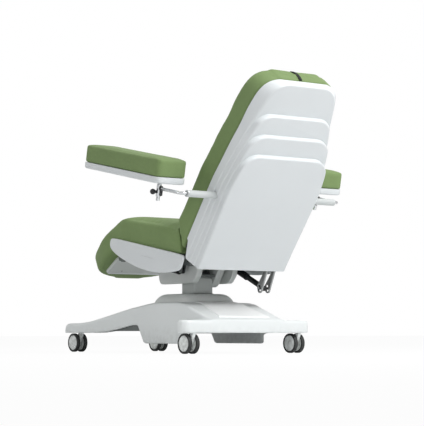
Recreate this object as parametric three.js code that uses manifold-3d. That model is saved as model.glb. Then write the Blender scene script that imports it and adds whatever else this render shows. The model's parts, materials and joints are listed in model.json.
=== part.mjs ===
// Dialysis chair on four casters, in millimetres, +Z up.
// +X is the chair's left side, +Y its rear; the floor is Z = 0.
import * as THREE from "three";
import { mergeVertices } from "three/addons/utils/BufferGeometryUtils.js";
import Module from "manifold-3d";

const wasm = await Module();
wasm.setup();

const degrees = THREE.MathUtils.degToRad;

// Fits
const GAP = 0.3;
const PIN_CLEARANCE = 0.3;
const SLIDE_CLEARANCE = 0.6;
const OVERRUN = 5;

// Posture in the rest position
const SEAT_PITCH = degrees(10.2);
const BACK_LEAN = degrees(36);
const LEG_SLOPE = degrees(25.5);
const ARM_RISE = degrees(11.2);

// Casters
const WHEEL_RADIUS = 50;
const WHEEL_WIDTH = 22;
const WHEEL_SPACING = 25;
const RIM_RADIUS = 40;
const CASTER_AXLE_RADIUS = 5;
const CASTER_TRAIL = 35;
const CASTER_REAR_X = 333;
const CASTER_REAR_Y = 418;
const CASTER_FRONT_X = 268;
const ARM_REACH = 800;
const CASTER_FRONT_INSET = 100;
const CASTER_FRONT_Y = CASTER_FRONT_INSET - ARM_REACH;
const STEM_RADIUS = 8;
const STEM_LENGTH = 28.5;
const FORK_PLATE_RADIUS = 15;
const FORK_PLATE_THICKNESS = 5;
const FORK_WEB = 19;

// Base frame
const FRAME_CLEARANCE = 112;
const FRAME_TUBE_HEIGHT = 30;
const FRAME_TUBE_WIDTH = 25;
const FRAME_RAIL_X = 206;
const FRAME_KNEE_X = 257;
const FRAME_KNEE_Y = -480;
const ARM_RAIL_WIDTH = 22;
const SOCKET_RADIUS = 15;

// Base cover
const COVER_WALL = 6;
const COVER_CLEARANCE = 102;
const BODY_HALF_WIDTH = 235;
const BODY_FRONT = 251;
const BODY_REAR = 440;
const BODY_HEIGHT = 260;
const BODY_ROUND = 16;
const SKIRT_CLEARANCE = 47;
const ARM_OVERLAP = 60;
const ARM_PAD_WIDTH = 96;
const ARM_ROOT_WIDTH = 42;
const ARM_OUTER_X = 313;
const ARM_ROUND = 14;
const FLANGE_HALF_WIDTH = 402;
const FLANGE_HEIGHT = 166;
const FLANGE_ROUND = 14;

// Column collar
const COLLAR_HALF_WIDTH = 158;
const COLLAR_FRONT = 198;
const COLLAR_REAR = 142;
const COLLAR_TOP = 304;
const COLLAR_DEPTH = 68;
const COLLAR_ROUND = 38;
const COLLAR_CORNER = 46;
const COLLAR_WALL = 4;

// Lift column
const COLUMN_WIDTH = 120;
const COLUMN_DEPTH = 114;
const COLUMN_WALL = 4;
const COLUMN_CORNER = 10;
const COLUMN_BOTTOM = 100;
const COLUMN_TOP = 385;
const COLUMN_FLOOR = 5;
const COLUMN_STEP = 3.5;
const COLUMN_FLANGE_WIDTH = 200;
const COLUMN_FLANGE_THICKNESS = 8;
const LIFT_MOTOR_RADIUS = 30;
const LIFT_MOTOR_HEIGHT = 215;
const LIFT_SPINDLE_RADIUS = 10;

// Column head and tilt hinge
const TILT_AXIS_HEIGHT = 430;
const TILT_AXLE_RADIUS = 10;
const HEAD_PLATE_THICKNESS = 12;
const HEAD_HALF_WIDTH = 62;
const HEAD_HALF_DEPTH = 75;
const EAR_THICKNESS = 10;
const EAR_X = 45;
const EAR_RADIUS = 18;
const DRIVE_WIDTH = 46;
const DRIVE_HEIGHT = 90;
const DRIVE_RISE = 16;
const DRIVE_HALF_DEPTH = 100;

// Seat, in its own frame: origin on the tilt axis, Y along the seat, Z square to it
const SEAT_HALF_WIDTH = 298;
const KNEE_FORWARD = 237;
const KNEE_RISE = 91.2;
const KNEE_ROLL_RADIUS = 130;
const KNEE_TIP = 45;
const KNEE_GAP = 2;
const KNUCKLE_RADIUS = 12;
const HINGE_PIN_RADIUS = 7;
const KNUCKLE_CLEARANCE = 2.5;
const SEAT_BOARD_THICKNESS = 12;
const RAIL_X = 250;
const RAIL_WIDTH = 25;
const RAIL_HEIGHT = 38;
const RECLINE_AXIS_Y = 270.3;
const RECLINE_AXIS_Z = 79.1;
const RAIL_TAIL = 17;
const SEAT_CROSS_FRONT_Y = -190;
const SEAT_CROSS_REAR_Y = 228;
const SEAT_CROSS_WIDTH = 25;
const SEAT_CROSS_HEIGHT = 30;
const KEEL_THICKNESS = 8;
const KEEL_LUG_RADIUS = 16;
const SEAT_REAR_LOW_Y = 249;
const SEAT_REAR_LOW_Z = 128;
const SEAT_REAR_TOP_Y = 190;
const SEAT_REAR_TOP_Z = 262;
const SEAT_ROUND = 24;
const SEAT_CROWN = 7;
const SIDE_DRAW = 3;
const EDGE_EASE = 3;
const CROWN_REACH = 58;

// Side covers and the cover under the seat
const SIDE_COVER_THICKNESS = 12;
const SIDE_COVER_GAP = 2.5;
const SIDE_COVER_ROUND = 7;
const SIDE_COVER_REAR = 292;
const SIDE_COVER_LENGTH = 672;
const SIDE_COVER_TOP = 110;
const SIDE_COVER_DEPTH = 124;
const BOSS_RADIUS = 8;
const BOSS_PITCH = 150;
const CHEEK_THICKNESS = 34;
const CHEEK_FRONT = 195;
const CHEEK_REAR = 141;
const CHEEK_DROP = 106;
const CHEEK_LEFT_X = 70;
const CHEEK_RIGHT_X = 124;
const CHEEK_ROUND = 6;

// Leg rest, in its own frame: origin on the knee axis, Y towards the rear
const LEG_PAD_LENGTH = 459.5;
const LEG_PAD_BOTTOM = 34;
const LEG_ROUND = 22;
const LEG_CROWN = 6;
const LEG_PLATE_REAR = 196;
const LEG_PLATE_LENGTH = 172;
const LEG_PLATE_HALF_WIDTH = 226;
const LEG_PLATE_DEPTH = 14;
const LEG_PLATE_WALL = 3;
const LEG_ARM_HEIGHT = 25;
const LEG_CROSS_Y = -170;
const LEG_RUNNER_X = 120;
const LEG_RUNNER_WIDTH = 40;
const LEG_RUNNER_HEIGHT = 8.5;
const LEG_TORQUE_Y = -35;
const LEG_LEVER_Y = -50;
const LEG_LEVER_Z = -65;
const LEG_ACTUATOR_X = 140;
const LEG_ACTUATOR_Y = 60;
const LEG_ACTUATOR_Z = 0;
const LEG_ACTUATOR_BODY = 222;
const LEG_STROKE = 58;
const LEG_SLOT = [1, 18];

// Backrest, in its own frame: origin on the recline axis, Z up the back, Y to its rear
const BACK_FACE_Y = -128;
const BACK_LENGTH = 888;
const BACK_FOOT = 105;
const BACK_FOOT_SHARE = 1.05;
const BACK_DROP = 145.5;
const BACK_HALF_WIDTH = 305;
const BACK_PAD = 99.7;
const BACK_PAD_ROUND = 24;
const BACK_CROWN = 8;
const BACK_BOARD_THICKNESS = 11.7;
const BACK_BOARD_SHY = 8.5;
const BACK_TUBE = 25;
const BACK_TUBE_X = 220;
const BACK_TUBE_TOP = 705;
const BACK_RUNNER_X = 110;
const BACK_RUNNER_TOP = 945;
const BACK_BEAM_Y = 73;
const BACK_BEAM_Z = 40;
const BACK_BEAM = 30;
const SHELL_WALL = 4.5;
const SHELL_SHY = 3;
const SHELL_DEPTHS = [235, 206, 178, 150];
const SHELL_LEDGES = [527, 623, 722, 886];
const SHELL_CORNER = 100;
const SHELL_BEVEL = 16;
const SHELL_STEP_WIDTH = 5;
const SHELL_FOOT = 123;
const SHELL_CUT = 45;
const SHELL_CUT_TOP = 30;
const STRAP_WIDTH = 9;
const STRAP_THICKNESS = 1.5;
const STRAP_LENGTH = 60;

// Recline lever and actuator
const LEVER_X = -195;
const LEVER_SPACING = 50;
const LEVER_PLATE = 8;
const LEVER_PIN_Y = 100.7;
const LEVER_PIN_Z = -87.5;
const LEVER_TOP = 95;
const LEVER_PIN_RADIUS = 7;
const RECLINE_ACTUATOR_Y = -115;
const RECLINE_ACTUATOR_Z = 66;
const RECLINE_ACTUATOR_BODY = 300;
const RECLINE_STROKE = 120;
const RECLINE_SLOT = [10, 8];
const SLOT_WALL = 7;
const ACTUATOR_RADIUS = 23;
const ACTUATOR_TUBE_RADIUS = 18;
const ACTUATOR_ROD_RADIUS = 14;
const ACTUATOR_EYE_RADIUS = 14;
const ACTUATOR_EYE_WIDTH = 16;
const ACTUATOR_SHELL_SHARE = 0.62;
const OPEN_PIVOT_CLEARANCE = 3;

// Armrests, in their own frame: origin on the arm tube's axis, Z square to the pad
const ARM_TUBE_RADIUS = 17;
const ARM_TUBE_BORE = 9;
const ARM_TUBE_END = 465;
const ARM_ROD_START = 225;
const ARM_TUBE_Y = 33;
const ARM_TUBE_Z = 405.5;
const ARM_ROD_RADIUS = 8;
const ARM_BEND_RADIUS = 28;
const ARM_X = 500;
const ARM_POST_Y = -182.6;
const ARM_POST_RADIUS = 9;
const ARM_POST_TAIL = 61;
const ARM_FLANGE_RADIUS = 30;
const ARM_FLANGE_THICKNESS = 4;
const CLAMP_WIDTH = 32;
const CLAMP_TOP = 17;
const CLAMP_BOTTOM = 40;
const CLAMP_ROUND = 5;
const BUSH_WALL = 3;
const KNOB_RADIUS = 14;
const KNOB_REACH = 34;
const KNOB_DROP = 18;
const KNOB_SCREW_RADIUS = 4;
const ARM_PAD_BOTTOM = 30;
const ARM_PAD_REAR = 82;
const ARM_PAD_LENGTH = 673;
const ARM_PAD_HALF_WIDTH = 89;
const ARM_BASE_HEIGHT = 32;
const ARM_BASE_SHY = 5;
const ARM_CUSHION_HEIGHT = 88;
const ARM_CUSHION_ROUND = 14;
const ARM_CUSHION_CROWN = 4;

// Facets
const ROUND_SIDES = 18;
const SMALL_SIDES = 12;
const WHEEL_SIDES = 16;
const FILLET_STEPS = 3;
const EDGE_STEPS = 2;
const BEND_STEPS = 5;
const CORNER_STEPS = 5;
const HAIR = 0.001;

// Finishes
const finish = (color, roughness, metalness = 0) =>
  new THREE.MeshStandardMaterial({ color, roughness, metalness });
const finishes = {
  cover: () => finish(0xdfe4e4, 0.35),
  collar: () => finish(0xa9b0ad, 0.45),
  tyre: () => finish(0x282c2c, 0.8),
  wheel: () => finish(0xc6ccca, 0.4),
  column: () => finish(0x8b908e, 0.4, 0.8),
  frame: () => finish(0x6f7574, 0.5, 0.4),
  black: () => finish(0x1a1d1d, 0.5),
  chrome: () => finish(0xd8dadb, 0.12, 1),
  upholstery: () => finish(0x74885a, 0.6),
  board: () => finish(0x8a6b48, 0.8),
  housing: () => finish(0xb4bab8, 0.45),
  webbing: () => finish(0x14171a, 0.85),
  tube: () => finish(0xe6e9ea, 0.25, 0.2),
};

// Solids

// Every form is a geometry or a solid that came out of joining and cutting

function solidOf(form) {
  if (!form.isBufferGeometry) return form;
  const merged = tidied(form);
  return new wasm.Manifold(new wasm.Mesh({
    numProp: 3,
    vertProperties: new Float32Array(merged.attributes.position.array),
    triVerts: new Uint32Array(merged.index.array),
  }));
}

function geometryOf(form) {
  if (form.isBufferGeometry) return tidied(form);
  const data = form.getMesh();
  const geometry = new THREE.BufferGeometry();
  geometry.setAttribute("position", new THREE.BufferAttribute(new Float32Array(data.vertProperties), 3));
  geometry.setIndex(new THREE.BufferAttribute(new Uint32Array(data.triVerts), 1));
  geometry.computeVertexNormals();
  return geometry;
}

// Shared points merged, and triangles that shrank to a line left out
function tidied(geometry) {
  const bare = geometry.clone();
  bare.deleteAttribute("normal");
  bare.deleteAttribute("uv");
  const merged = mergeVertices(bare);
  const kept = [];
  const index = merged.index.array;
  for (let i = 0; i < index.length; i += 3) {
    const [a, b, c] = index.slice(i, i + 3);
    if (a !== b && b !== c && c !== a) kept.push(a, b, c);
  }
  merged.setIndex(kept);
  merged.computeVertexNormals();
  return merged;
}

function mesh(name, form, material) {
  const result = new THREE.Mesh(geometryOf(form), material);
  result.name = name;
  return result;
}

function join(...forms) {
  return forms.map(solidOf).reduce((sum, next) => sum.add(next));
}

function cut(form, ...tools) {
  return tools.map(solidOf).reduce((rest, tool) => rest.subtract(tool), solidOf(form));
}

function mirrorX(form) {
  return solidOf(form).mirror([1, 0, 0]);
}

function box(x0, x1, y0, y1, z0, z1) {
  return new THREE.BoxGeometry(x1 - x0, y1 - y0, z1 - z0)
    .translate((x0 + x1) / 2, (y0 + y1) / 2, (z0 + z1) / 2);
}

function cylinderZ(radius, x, y, z0, z1, sides = SMALL_SIDES) {
  return new THREE.CylinderGeometry(radius, radius, z1 - z0, sides)
    .rotateX(Math.PI / 2)
    .translate(x, y, (z0 + z1) / 2);
}

function cylinderX(radius, x0, x1, y, z, sides = SMALL_SIDES) {
  return new THREE.CylinderGeometry(radius, radius, x1 - x0, sides)
    .rotateZ(Math.PI / 2)
    .translate((x0 + x1) / 2, y, z);
}

function cylinderY(radius, x, y0, y1, z, sides = SMALL_SIDES) {
  return new THREE.CylinderGeometry(radius, radius, y1 - y0, sides).translate(x, (y0 + y1) / 2, z);
}

// Radius of a faceted bore whose flats stand clear of a pin
function boreFor(radius, clearance = PIN_CLEARANCE, sides = SMALL_SIDES) {
  return (radius + clearance) / Math.cos(Math.PI / sides);
}

// A turned shape about the X axis, from [radius, x] points
function turnedX(points, sides = ROUND_SIDES) {
  const profile = points.map(([radius, x]) => new THREE.Vector2(radius, x));
  return new THREE.LatheGeometry(profile, sides).rotateZ(-Math.PI / 2);
}

// Corners of an outline softened by short curves, of one radius or one for each corner
function soften(points, radii, steps = FILLET_STEPS) {
  const result = [];
  points.forEach(([a, b], i) => {
    const corner = new THREE.Vector2(a, b);
    const before = new THREE.Vector2(...points.at(i - 1)).sub(corner);
    const after = new THREE.Vector2(...points[(i + 1) % points.length]).sub(corner);
    const radius = Array.isArray(radii) ? radii[i] : radii;
    const reach = Math.min(radius, before.length() / 2, after.length() / 2);
    const start = corner.clone().add(before.setLength(reach));
    const end = corner.clone().add(after.setLength(reach));
    const curve = new THREE.QuadraticBezierCurve(start, corner, end);
    curve.getPoints(steps).forEach((p) => result.push([p.x, p.y]));
  });
  return result.filter(([a, b], i) => {
    const [c, d] = result.at(i - 1);
    return Math.hypot(a - c, b - d) > HAIR;
  });
}

function rectangle(a0, a1, b0, b1) {
  return [[a0, b0], [a1, b0], [a1, b1], [a0, b1]];
}

function arc(a, b, radius, from, to, steps) {
  return Array.from({ length: steps + 1 }, (_, i) => {
    const angle = from + (to - from) * i / steps;
    return [a + radius * Math.cos(angle), b + radius * Math.sin(angle)];
  });
}

function prism(outline, depth) {
  return loft([0, depth].map((z) => outline.map(([a, b]) => new THREE.Vector3(a, b, z))));
}

function extrude(outline, depth, holes = []) {
  if (!holes.length) return prism(outline, depth);
  const tools = holes.map((hole) => prism(hole, depth + 2 * OVERRUN).translate(0, 0, -OVERRUN));
  return cut(prism(outline, depth), ...tools);
}

// An outline in Y and Z, extruded along X
function plateX(outline, x0, x1, holes) {
  const turn = new THREE.Matrix4().makeBasis(
    new THREE.Vector3(0, 1, 0), new THREE.Vector3(0, 0, 1), new THREE.Vector3(1, 0, 0));
  return extrude(outline, x1 - x0, holes).applyMatrix4(turn).translate(x0, 0, 0);
}

// An outline in X and Y, extruded along Z
function plateZ(outline, z0, z1, holes) {
  return extrude(outline, z1 - z0, holes).translate(0, 0, z0);
}

function signedArea(points) {
  return THREE.ShapeUtils.area(points);
}

// A closed skin through rings of equal count, with flat ends cut up like the pattern ring
function loft(rings, pattern) {
  const count = rings[0].length;
  const triangles = [];
  for (let i = 0; i < rings.length - 1; i += 1) {
    for (let j = 0; j < count; j += 1) {
      const next = (j + 1) % count;
      const [a, b] = [i * count + j, i * count + next];
      const [c, d] = [(i + 1) * count + next, (i + 1) * count + j];
      triangles.push([a, b, c], [a, c, d]);
    }
  }
  const ends = [[0, true], [rings.length - 1, false]];
  for (const [index, reversed] of ends) {
    const flat = bowInwards(flatten(pattern ?? rings[index]));
    const turned = signedArea(flat) < 0;
    for (const face of THREE.ShapeUtils.triangulateShape(flat, [])) {
      const corners = face.map((k) => flat[k]);
      const same = (signedArea(corners) < 0) === turned;
      const [a, b, c] = face.map((k) => index * count + k);
      triangles.push(same !== reversed ? [a, b, c] : [a, c, b]);
    }
  }
  const points = rings.flat();
  const volume = triangles.reduce((sum, [a, b, c]) =>
    sum + points[a].dot(points[b].clone().cross(points[c])), 0);
  const order = volume < 0 ? triangles.map(([a, b, c]) => [a, c, b]) : triangles;
  const geometry = new THREE.BufferGeometry().setFromPoints(points);
  geometry.setIndex(order.flat());
  geometry.computeVertexNormals();
  return geometry;
}

// A ring seen square on to the plane that it lies in most nearly
function flatten(ring) {
  const normal = new THREE.Vector3();
  ring.forEach((p, i) => normal.add(p.clone().cross(ring[(i + 1) % ring.length])));
  const size = normal.toArray().map(Math.abs);
  const drop = size.indexOf(Math.max(...size));
  return ring.map((p) => {
    const kept = p.toArray().filter((_, i) => i !== drop);
    return new THREE.Vector2(...kept);
  });
}

// Straight sides bent inwards by a hair, so that no point on them is passed over in an end face
function bowInwards(points) {
  const box = new THREE.Box2().setFromPoints(points);
  const middle = box.getCenter(new THREE.Vector2());
  const size = box.getSize(new THREE.Vector2()).lengthSq();
  return points.map((p) => {
    const out = p.clone().sub(middle);
    return out.multiplyScalar(1 + HAIR * out.lengthSq() / size).add(middle);
  });
}

// An outline moved inwards, each point by its own share of the distance
function inset(outline, distance, shareOf = () => 1) {
  const points = outline.map(([a, b]) => new THREE.Vector2(a, b));
  const side = Math.sign(signedArea(points));
  return points.map((p, i) => {
    const before = points.at(i - 1);
    const after = points[(i + 1) % points.length];
    const along = after.clone().sub(before).normalize();
    const reach = distance * side * shareOf(outline[i]);
    return [p.x - along.y * reach, p.y + along.x * reach];
  });
}

// The steps of a rounded edge: [share of the way out, share of the way in]
function edgeSteps(steps = EDGE_STEPS) {
  return Array.from({ length: steps + 1 }, (_, i) => {
    const angle = Math.PI / 2 * i / steps;
    return [Math.sin(angle), 1 - Math.cos(angle)];
  });
}

// A cushion form: an outline in Y and Z with its own half width at each point, rounded towards
// its sides, drawn in between its side edges and crowned across
function pillow({ outline, halfWidthAt, round, crown = 0, crownShareAt = () => 0, draw = 0, hold }) {
  const middle = [0, 0.6];
  const edge = edgeSteps();
  const half = [];
  for (const share of middle) half.push({ share, out: 0, inward: 0 });
  for (const [out, inward] of edge) half.push({ share: 1, out, inward });
  const stations = [...half.slice(1).reverse().map((s) => ({ ...s, side: -1 })),
    ...half.map((s) => ({ ...s, side: 1 }))];
  const lows = outline.map(([, b]) => b);
  const [low, high] = [Math.min(...lows), Math.max(...lows)];
  const rings = stations.map(({ share, out, inward, side }) => {
    const shrunk = inset(outline, round * inward, hold);
    return shrunk.map(([a, b], i) => {
      const point = outline[i];
      const width = halfWidthAt(point);
      const bow = draw * Math.sin(Math.PI * (point[1] - low) / (high - low));
      const x = (width - round) * share + round * out - bow * share;
      const lift = crown * crownShareAt(point) * (1 - (x / width) ** 2);
      return new THREE.Vector3(side * x, a, b + lift);
    });
  });
  return loft(rings, outline.map(([a, b]) => new THREE.Vector3(0, a, b)));
}

// An outline of a tongue as [half width, place] points, both sides, shrunk all round from its tip
// down to its root
function tongueRing({ root, tip, halfWidthAt }, shrink, rootShrink = 0) {
  const [from, to] = [root + rootShrink, tip - shrink];
  const half = tongueShares.map((share) => {
    const place = from + (to - from) * share;
    return [halfWidthAt(place + shrink * share) - shrink, place];
  });
  return [...half, ...half.map(([width, place]) => [-width, place]).reverse()];
}

// The levels of a tongue cushion, from its flat back to its crowned face: [level, shrink,
// shrink at the root], where level is a share of its thickness, over 1 on the crown
function tongueLevels(thickness, round, crown) {
  const levels = [
    [0, EDGE_EASE, 0], [EDGE_EASE / thickness, 0, 0], [0.27, SIDE_DRAW / 2, 0], [0.52, SIDE_DRAW, 0],
  ];
  for (const [out, inward] of edgeSteps(EDGE_STEPS + 1)) {
    levels.push([1 - (round - round * out) / thickness, round * inward, 0]);
  }
  for (const [share, rise] of crownRows) {
    levels.push([1 + crown * rise / thickness, round + CROWN_REACH * share, CROWN_REACH * share]);
  }
  return levels;
}

// A prism along Z with a rounded top edge
function domedPlate(outline, z0, z1, round) {
  const rings = [outline.map(([x, y]) => new THREE.Vector3(x, y, z0))];
  for (const [out, inward] of edgeSteps()) {
    const z = z1 - round + round * out;
    rings.push(inset(outline, round * inward).map(([x, y]) => new THREE.Vector3(x, y, z)));
  }
  return loft(rings, rings[0]);
}

const tongueShares = [0, 0.28, 0.5, 0.63, 0.73, 0.81, 0.87, 0.92, 0.96, 0.985, 1];
const crownRows = [[0.4, 0.6], [1, 1]];

// A plate along X whose outer edge is rounded
function domedPanel(outline, xInner, xOuter, round) {
  const side = Math.sign(xOuter - xInner);
  const rings = [outline.map(([y, z]) => new THREE.Vector3(xInner, y, z))];
  for (const [out, inward] of edgeSteps()) {
    const x = xOuter - side * round * (1 - out);
    rings.push(inset(outline, round * inward).map(([y, z]) => new THREE.Vector3(x, y, z)));
  }
  return loft(rings, rings[0]);
}

// A value read from a table of [place, value] rows
function tableAt(rows, place) {
  if (place <= rows[0][0]) return rows[0][1];
  for (let i = 1; i < rows.length; i += 1) {
    const [a, low] = rows[i - 1];
    const [b, high] = rows[i];
    if (place <= b) return low + (high - low) * (place - a) / (b - a);
  }
  return rows.at(-1)[1];
}

// Base frame

const FRAME_TOP = FRAME_CLEARANCE + FRAME_TUBE_HEIGHT;
const casterPlaces = [
  ["front_left", CASTER_FRONT_X, CASTER_FRONT_Y],
  ["front_right", -CASTER_FRONT_X, CASTER_FRONT_Y],
  ["rear_left", CASTER_REAR_X, CASTER_REAR_Y],
  ["rear_right", -CASTER_REAR_X, CASTER_REAR_Y],
];

// A level tube from one [x, y] point to another
function levelTube([x0, y0], [x1, y1], width) {
  const along = new THREE.Vector2(x1 - x0, y1 - y0);
  return new THREE.BoxGeometry(width, along.length() + width / 2, FRAME_TUBE_HEIGHT)
    .rotateZ(along.angle() - Math.PI / 2)
    .translate((x0 + x1) / 2, (y0 + y1) / 2, FRAME_CLEARANCE + FRAME_TUBE_HEIGHT / 2);
}

function armRails(side) {
  const points = [
    [side * FRAME_RAIL_X, -BODY_FRONT / 2], [side * FRAME_KNEE_X, FRAME_KNEE_Y],
    [side * CASTER_FRONT_X, CASTER_FRONT_Y],
  ];
  return points.slice(1).map((point, i) => levelTube(points[i], point, ARM_RAIL_WIDTH));
}

function baseFrame() {
  const [z0, z1] = [FRAME_CLEARANCE, FRAME_TOP];
  const halfTube = FRAME_TUBE_WIDTH / 2;
  const crossY = COLUMN_DEPTH / 2 + FRAME_TUBE_WIDTH;
  const rearReach = CASTER_REAR_X + SOCKET_RADIUS;
  const pieces = [box(-rearReach, rearReach, CASTER_REAR_Y - halfTube, CASTER_REAR_Y + halfTube, z0, z1)];
  for (const y of [-crossY, crossY]) {
    pieces.push(box(-FRAME_RAIL_X, FRAME_RAIL_X, y - halfTube, y + halfTube, z0, z1));
  }
  for (const side of [-1, 1]) {
    const [inner, outer] = [FRAME_RAIL_X - halfTube, FRAME_RAIL_X + halfTube].map((x) => side * x);
    const [xLow, xHigh] = [Math.min(inner, outer), Math.max(inner, outer)];
    pieces.push(box(xLow, xHigh, -BODY_FRONT / 2 - halfTube, CASTER_REAR_Y, z0, z1), ...armRails(side));
  }
  const sockets = casterPlaces.map(([, x, y]) => cylinderZ(SOCKET_RADIUS, x, y, z0, z1));
  const bores = casterPlaces.map(([, x, y]) =>
    cylinderZ(boreFor(STEM_RADIUS), x, y, z0 - OVERRUN, z1 + OVERRUN));
  return cut(join(...pieces, ...sockets), ...bores);
}

// Casters

const CASTER_TOP = FRAME_CLEARANCE - GAP;

function casterFork(x, y) {
  const axleY = y - CASTER_TRAIL;
  const plateBottom = CASTER_TOP - FORK_PLATE_THICKNESS;
  const plate = cylinderZ(FORK_PLATE_RADIUS, x, y, plateBottom, CASTER_TOP, ROUND_SIDES);
  const stem = cylinderZ(STEM_RADIUS, x, y, plateBottom, CASTER_TOP + STEM_LENGTH);
  const web = plateX(soften([
    [axleY - STEM_RADIUS * 2, WHEEL_RADIUS - STEM_RADIUS * 2],
    [axleY + STEM_RADIUS * 2, WHEEL_RADIUS - STEM_RADIUS * 2],
    [y + FORK_PLATE_RADIUS * 0.8, CASTER_TOP - FORK_PLATE_THICKNESS * 2],
    [y + FORK_PLATE_RADIUS * 0.8, CASTER_TOP - FORK_PLATE_THICKNESS / 2],
    [y - FORK_PLATE_RADIUS * 0.8, CASTER_TOP - FORK_PLATE_THICKNESS / 2],
    [y - FORK_PLATE_RADIUS * 0.8, CASTER_TOP - FORK_PLATE_THICKNESS * 4],
    [axleY - STEM_RADIUS * 2, WHEEL_RADIUS * 1.2],
  ], STEM_RADIUS), x - FORK_WEB / 2, x + FORK_WEB / 2);
  const bore = cylinderX(boreFor(CASTER_AXLE_RADIUS), x - WHEEL_WIDTH, x + WHEEL_WIDTH, axleY, WHEEL_RADIUS);
  return cut(join(plate, stem, web), bore);
}

function wheelCore() {
  const inner = WHEEL_SPACING / 2;
  const outer = inner + WHEEL_WIDTH;
  const rim = RIM_RADIUS - GAP;
  const half = [
    [CASTER_AXLE_RADIUS, inner], [rim, inner], [rim, outer - WHEEL_WIDTH / 6],
    [rim * 0.93, outer - WHEEL_WIDTH / 16], [rim * 0.7, outer], [0, outer],
  ];
  const other = half.map(([radius, x]) => [radius, -x]).reverse();
  return turnedX([...other, ...half], WHEEL_SIDES);
}

function tyre(side) {
  const inner = WHEEL_SPACING / 2 + GAP;
  const outer = WHEEL_SPACING / 2 + WHEEL_WIDTH - WHEEL_WIDTH / 12;
  const shoulder = (WHEEL_RADIUS - RIM_RADIUS) / 4;
  const profile = [
    [RIM_RADIUS, inner], [WHEEL_RADIUS - shoulder, inner], [WHEEL_RADIUS, inner + shoulder],
    [WHEEL_RADIUS, outer - shoulder], [WHEEL_RADIUS - shoulder, outer],
    [RIM_RADIUS, outer], [RIM_RADIUS, inner],
  ];
  const ordered = side > 0 ? profile : profile.map(([radius, x]) => [radius, -x]).reverse();
  return turnedX(ordered, WHEEL_SIDES);
}

function caster(name, x, y) {
  const result = new THREE.Group();
  const place = (geometry) => geometry.translate(x, y - CASTER_TRAIL, WHEEL_RADIUS);
  result.add(mesh(`caster_fork_${name}`, casterFork(x, y), finishes.wheel()));
  result.add(mesh(`caster_wheels_${name}`, place(wheelCore()), finishes.wheel()));
  for (const side of [-1, 1]) {
    const which = side * x > 0 ? "outer" : "inner";
    result.add(mesh(`caster_tyre_${name}_${which}`, place(tyre(side)), finishes.tyre()));
  }
  return result;
}

// Base cover

// Side view of the body as [share of its reach, height share], front negative
const bodyTopShares = [
  [-1, 0.905], [-0.69, 0.946], [-0.35, 0.985], [-0.08, 1], [0.32, 0.992], [0.455, 0.961],
  [0.59, 0.88], [0.75, 0.785], [0.9, 0.695], [1, 0.645],
];

function bodyOutline(wall) {
  const place = (share) => (share < 0 ? share * (BODY_FRONT - wall) : share * (BODY_REAR - wall));
  const top = bodyTopShares.map(([share, height]) => [place(share), height * BODY_HEIGHT - wall]);
  const low = wall ? -OVERRUN : SKIRT_CLEARANCE;
  const step = wall ? -OVERRUN : COVER_CLEARANCE;
  return [
    [place(0.71), low], [place(0.81), step], [place(1), step], ...top.reverse(),
    [place(-1), step + (wall ? 0 : ARM_PAD_WIDTH * 0.4)],
    [place(-0.86), step + (wall ? 0 : ARM_PAD_WIDTH * 0.43)],
    [place(-0.74), step], [place(-0.62), low + (wall ? 0 : COVER_WALL)], [place(-0.55), low],
  ];
}

function baseBody(wall) {
  return pillow({
    outline: bodyOutline(wall),
    halfWidthAt: () => BODY_HALF_WIDTH - wall,
    round: BODY_ROUND - wall,
    hold: ([, z]) => (z > COVER_CLEARANCE * 1.4 ? 1 : 0),
  });
}

// Plan of one half of the rear flange as [X share, Y share]
const flangePlanShares = [
  [0.57, 0.5], [0.61, 0.62], [0.7, 0.735], [0.86, 0.79], [0.94, 0.815], [1, 0.87], [1, 0.94], [0.94, 1],
];

function rearFlange(wall) {
  const half = flangePlanShares.map(([a, b]) => [a * FLANGE_HALF_WIDTH, b * BODY_REAR]);
  const plan = [...half, ...half.map(([x, y]) => [-x, y]).reverse()];
  const outline = wall ? inset(plan, wall) : plan;
  const low = wall ? -OVERRUN : COVER_CLEARANCE;
  return domedPlate(outline, low, FLANGE_HEIGHT - wall, FLANGE_ROUND - wall);
}

// One front arm as rows of [share of its reach from the tip, top share, underside share,
// width share, share of the way out]
const armRows = [
  [0, 0.5, 0, 0.72, 0.95], [0.016, 0.57, 0, 0.88, 0.985], [0.05, 0.594, 0, 1, 1], [0.2, 0.598, 0, 1, 0.985],
  [0.35, 0.625, 0, 0.9, 0.91], [0.5, 0.69, 0.02, 0.68, 0.74], [0.65, 0.77, 0.1, 0.5, 0.5],
  [0.82, 0.86, 0.26, 0.4, 0.24], [0.91, 0.905, 0.36, 0.38, 0.08], [1, 0.92, 0.38, 0.38, 0],
];

const ROOT_SHARE = 0.38;

function frontArm(side, wall) {
  const reach = ARM_REACH - BODY_FRONT + ARM_OVERLAP;
  const rings = armRows.map(([share, top, under, width, out]) => {
    const y = -ARM_REACH + reach * share + (share < 0.1 ? wall : 0);
    const outerX = BODY_HALF_WIDTH + (ARM_OUTER_X - BODY_HALF_WIDTH) * out - wall;
    const spread = (width - ROOT_SHARE) / (1 - ROOT_SHARE);
    const fullWidth = ARM_ROOT_WIDTH + (ARM_PAD_WIDTH - ARM_ROOT_WIDTH) * spread;
    const innerX = outerX - fullWidth + 2 * wall;
    const z0 = wall ? -OVERRUN : COVER_CLEARANCE + under * (BODY_HEIGHT - COVER_CLEARANCE) * 0.7;
    const z1 = top * BODY_HEIGHT - wall;
    const [xLow, xHigh] = [innerX, outerX].map((x) => side * x).sort((p, q) => p - q);
    const round = ARM_ROUND - wall;
    const corner = (cx, from) => arc(cx, z1 - round, round, from, from + Math.PI / 2, FILLET_STEPS);
    const section = [
      [xLow, z0], [xHigh, z0], ...corner(xHigh - round, 0), ...corner(xLow + round, Math.PI / 2),
    ];
    return section.map(([x, z]) => new THREE.Vector3(x, y, z));
  });
  return loft(rings);
}

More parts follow.
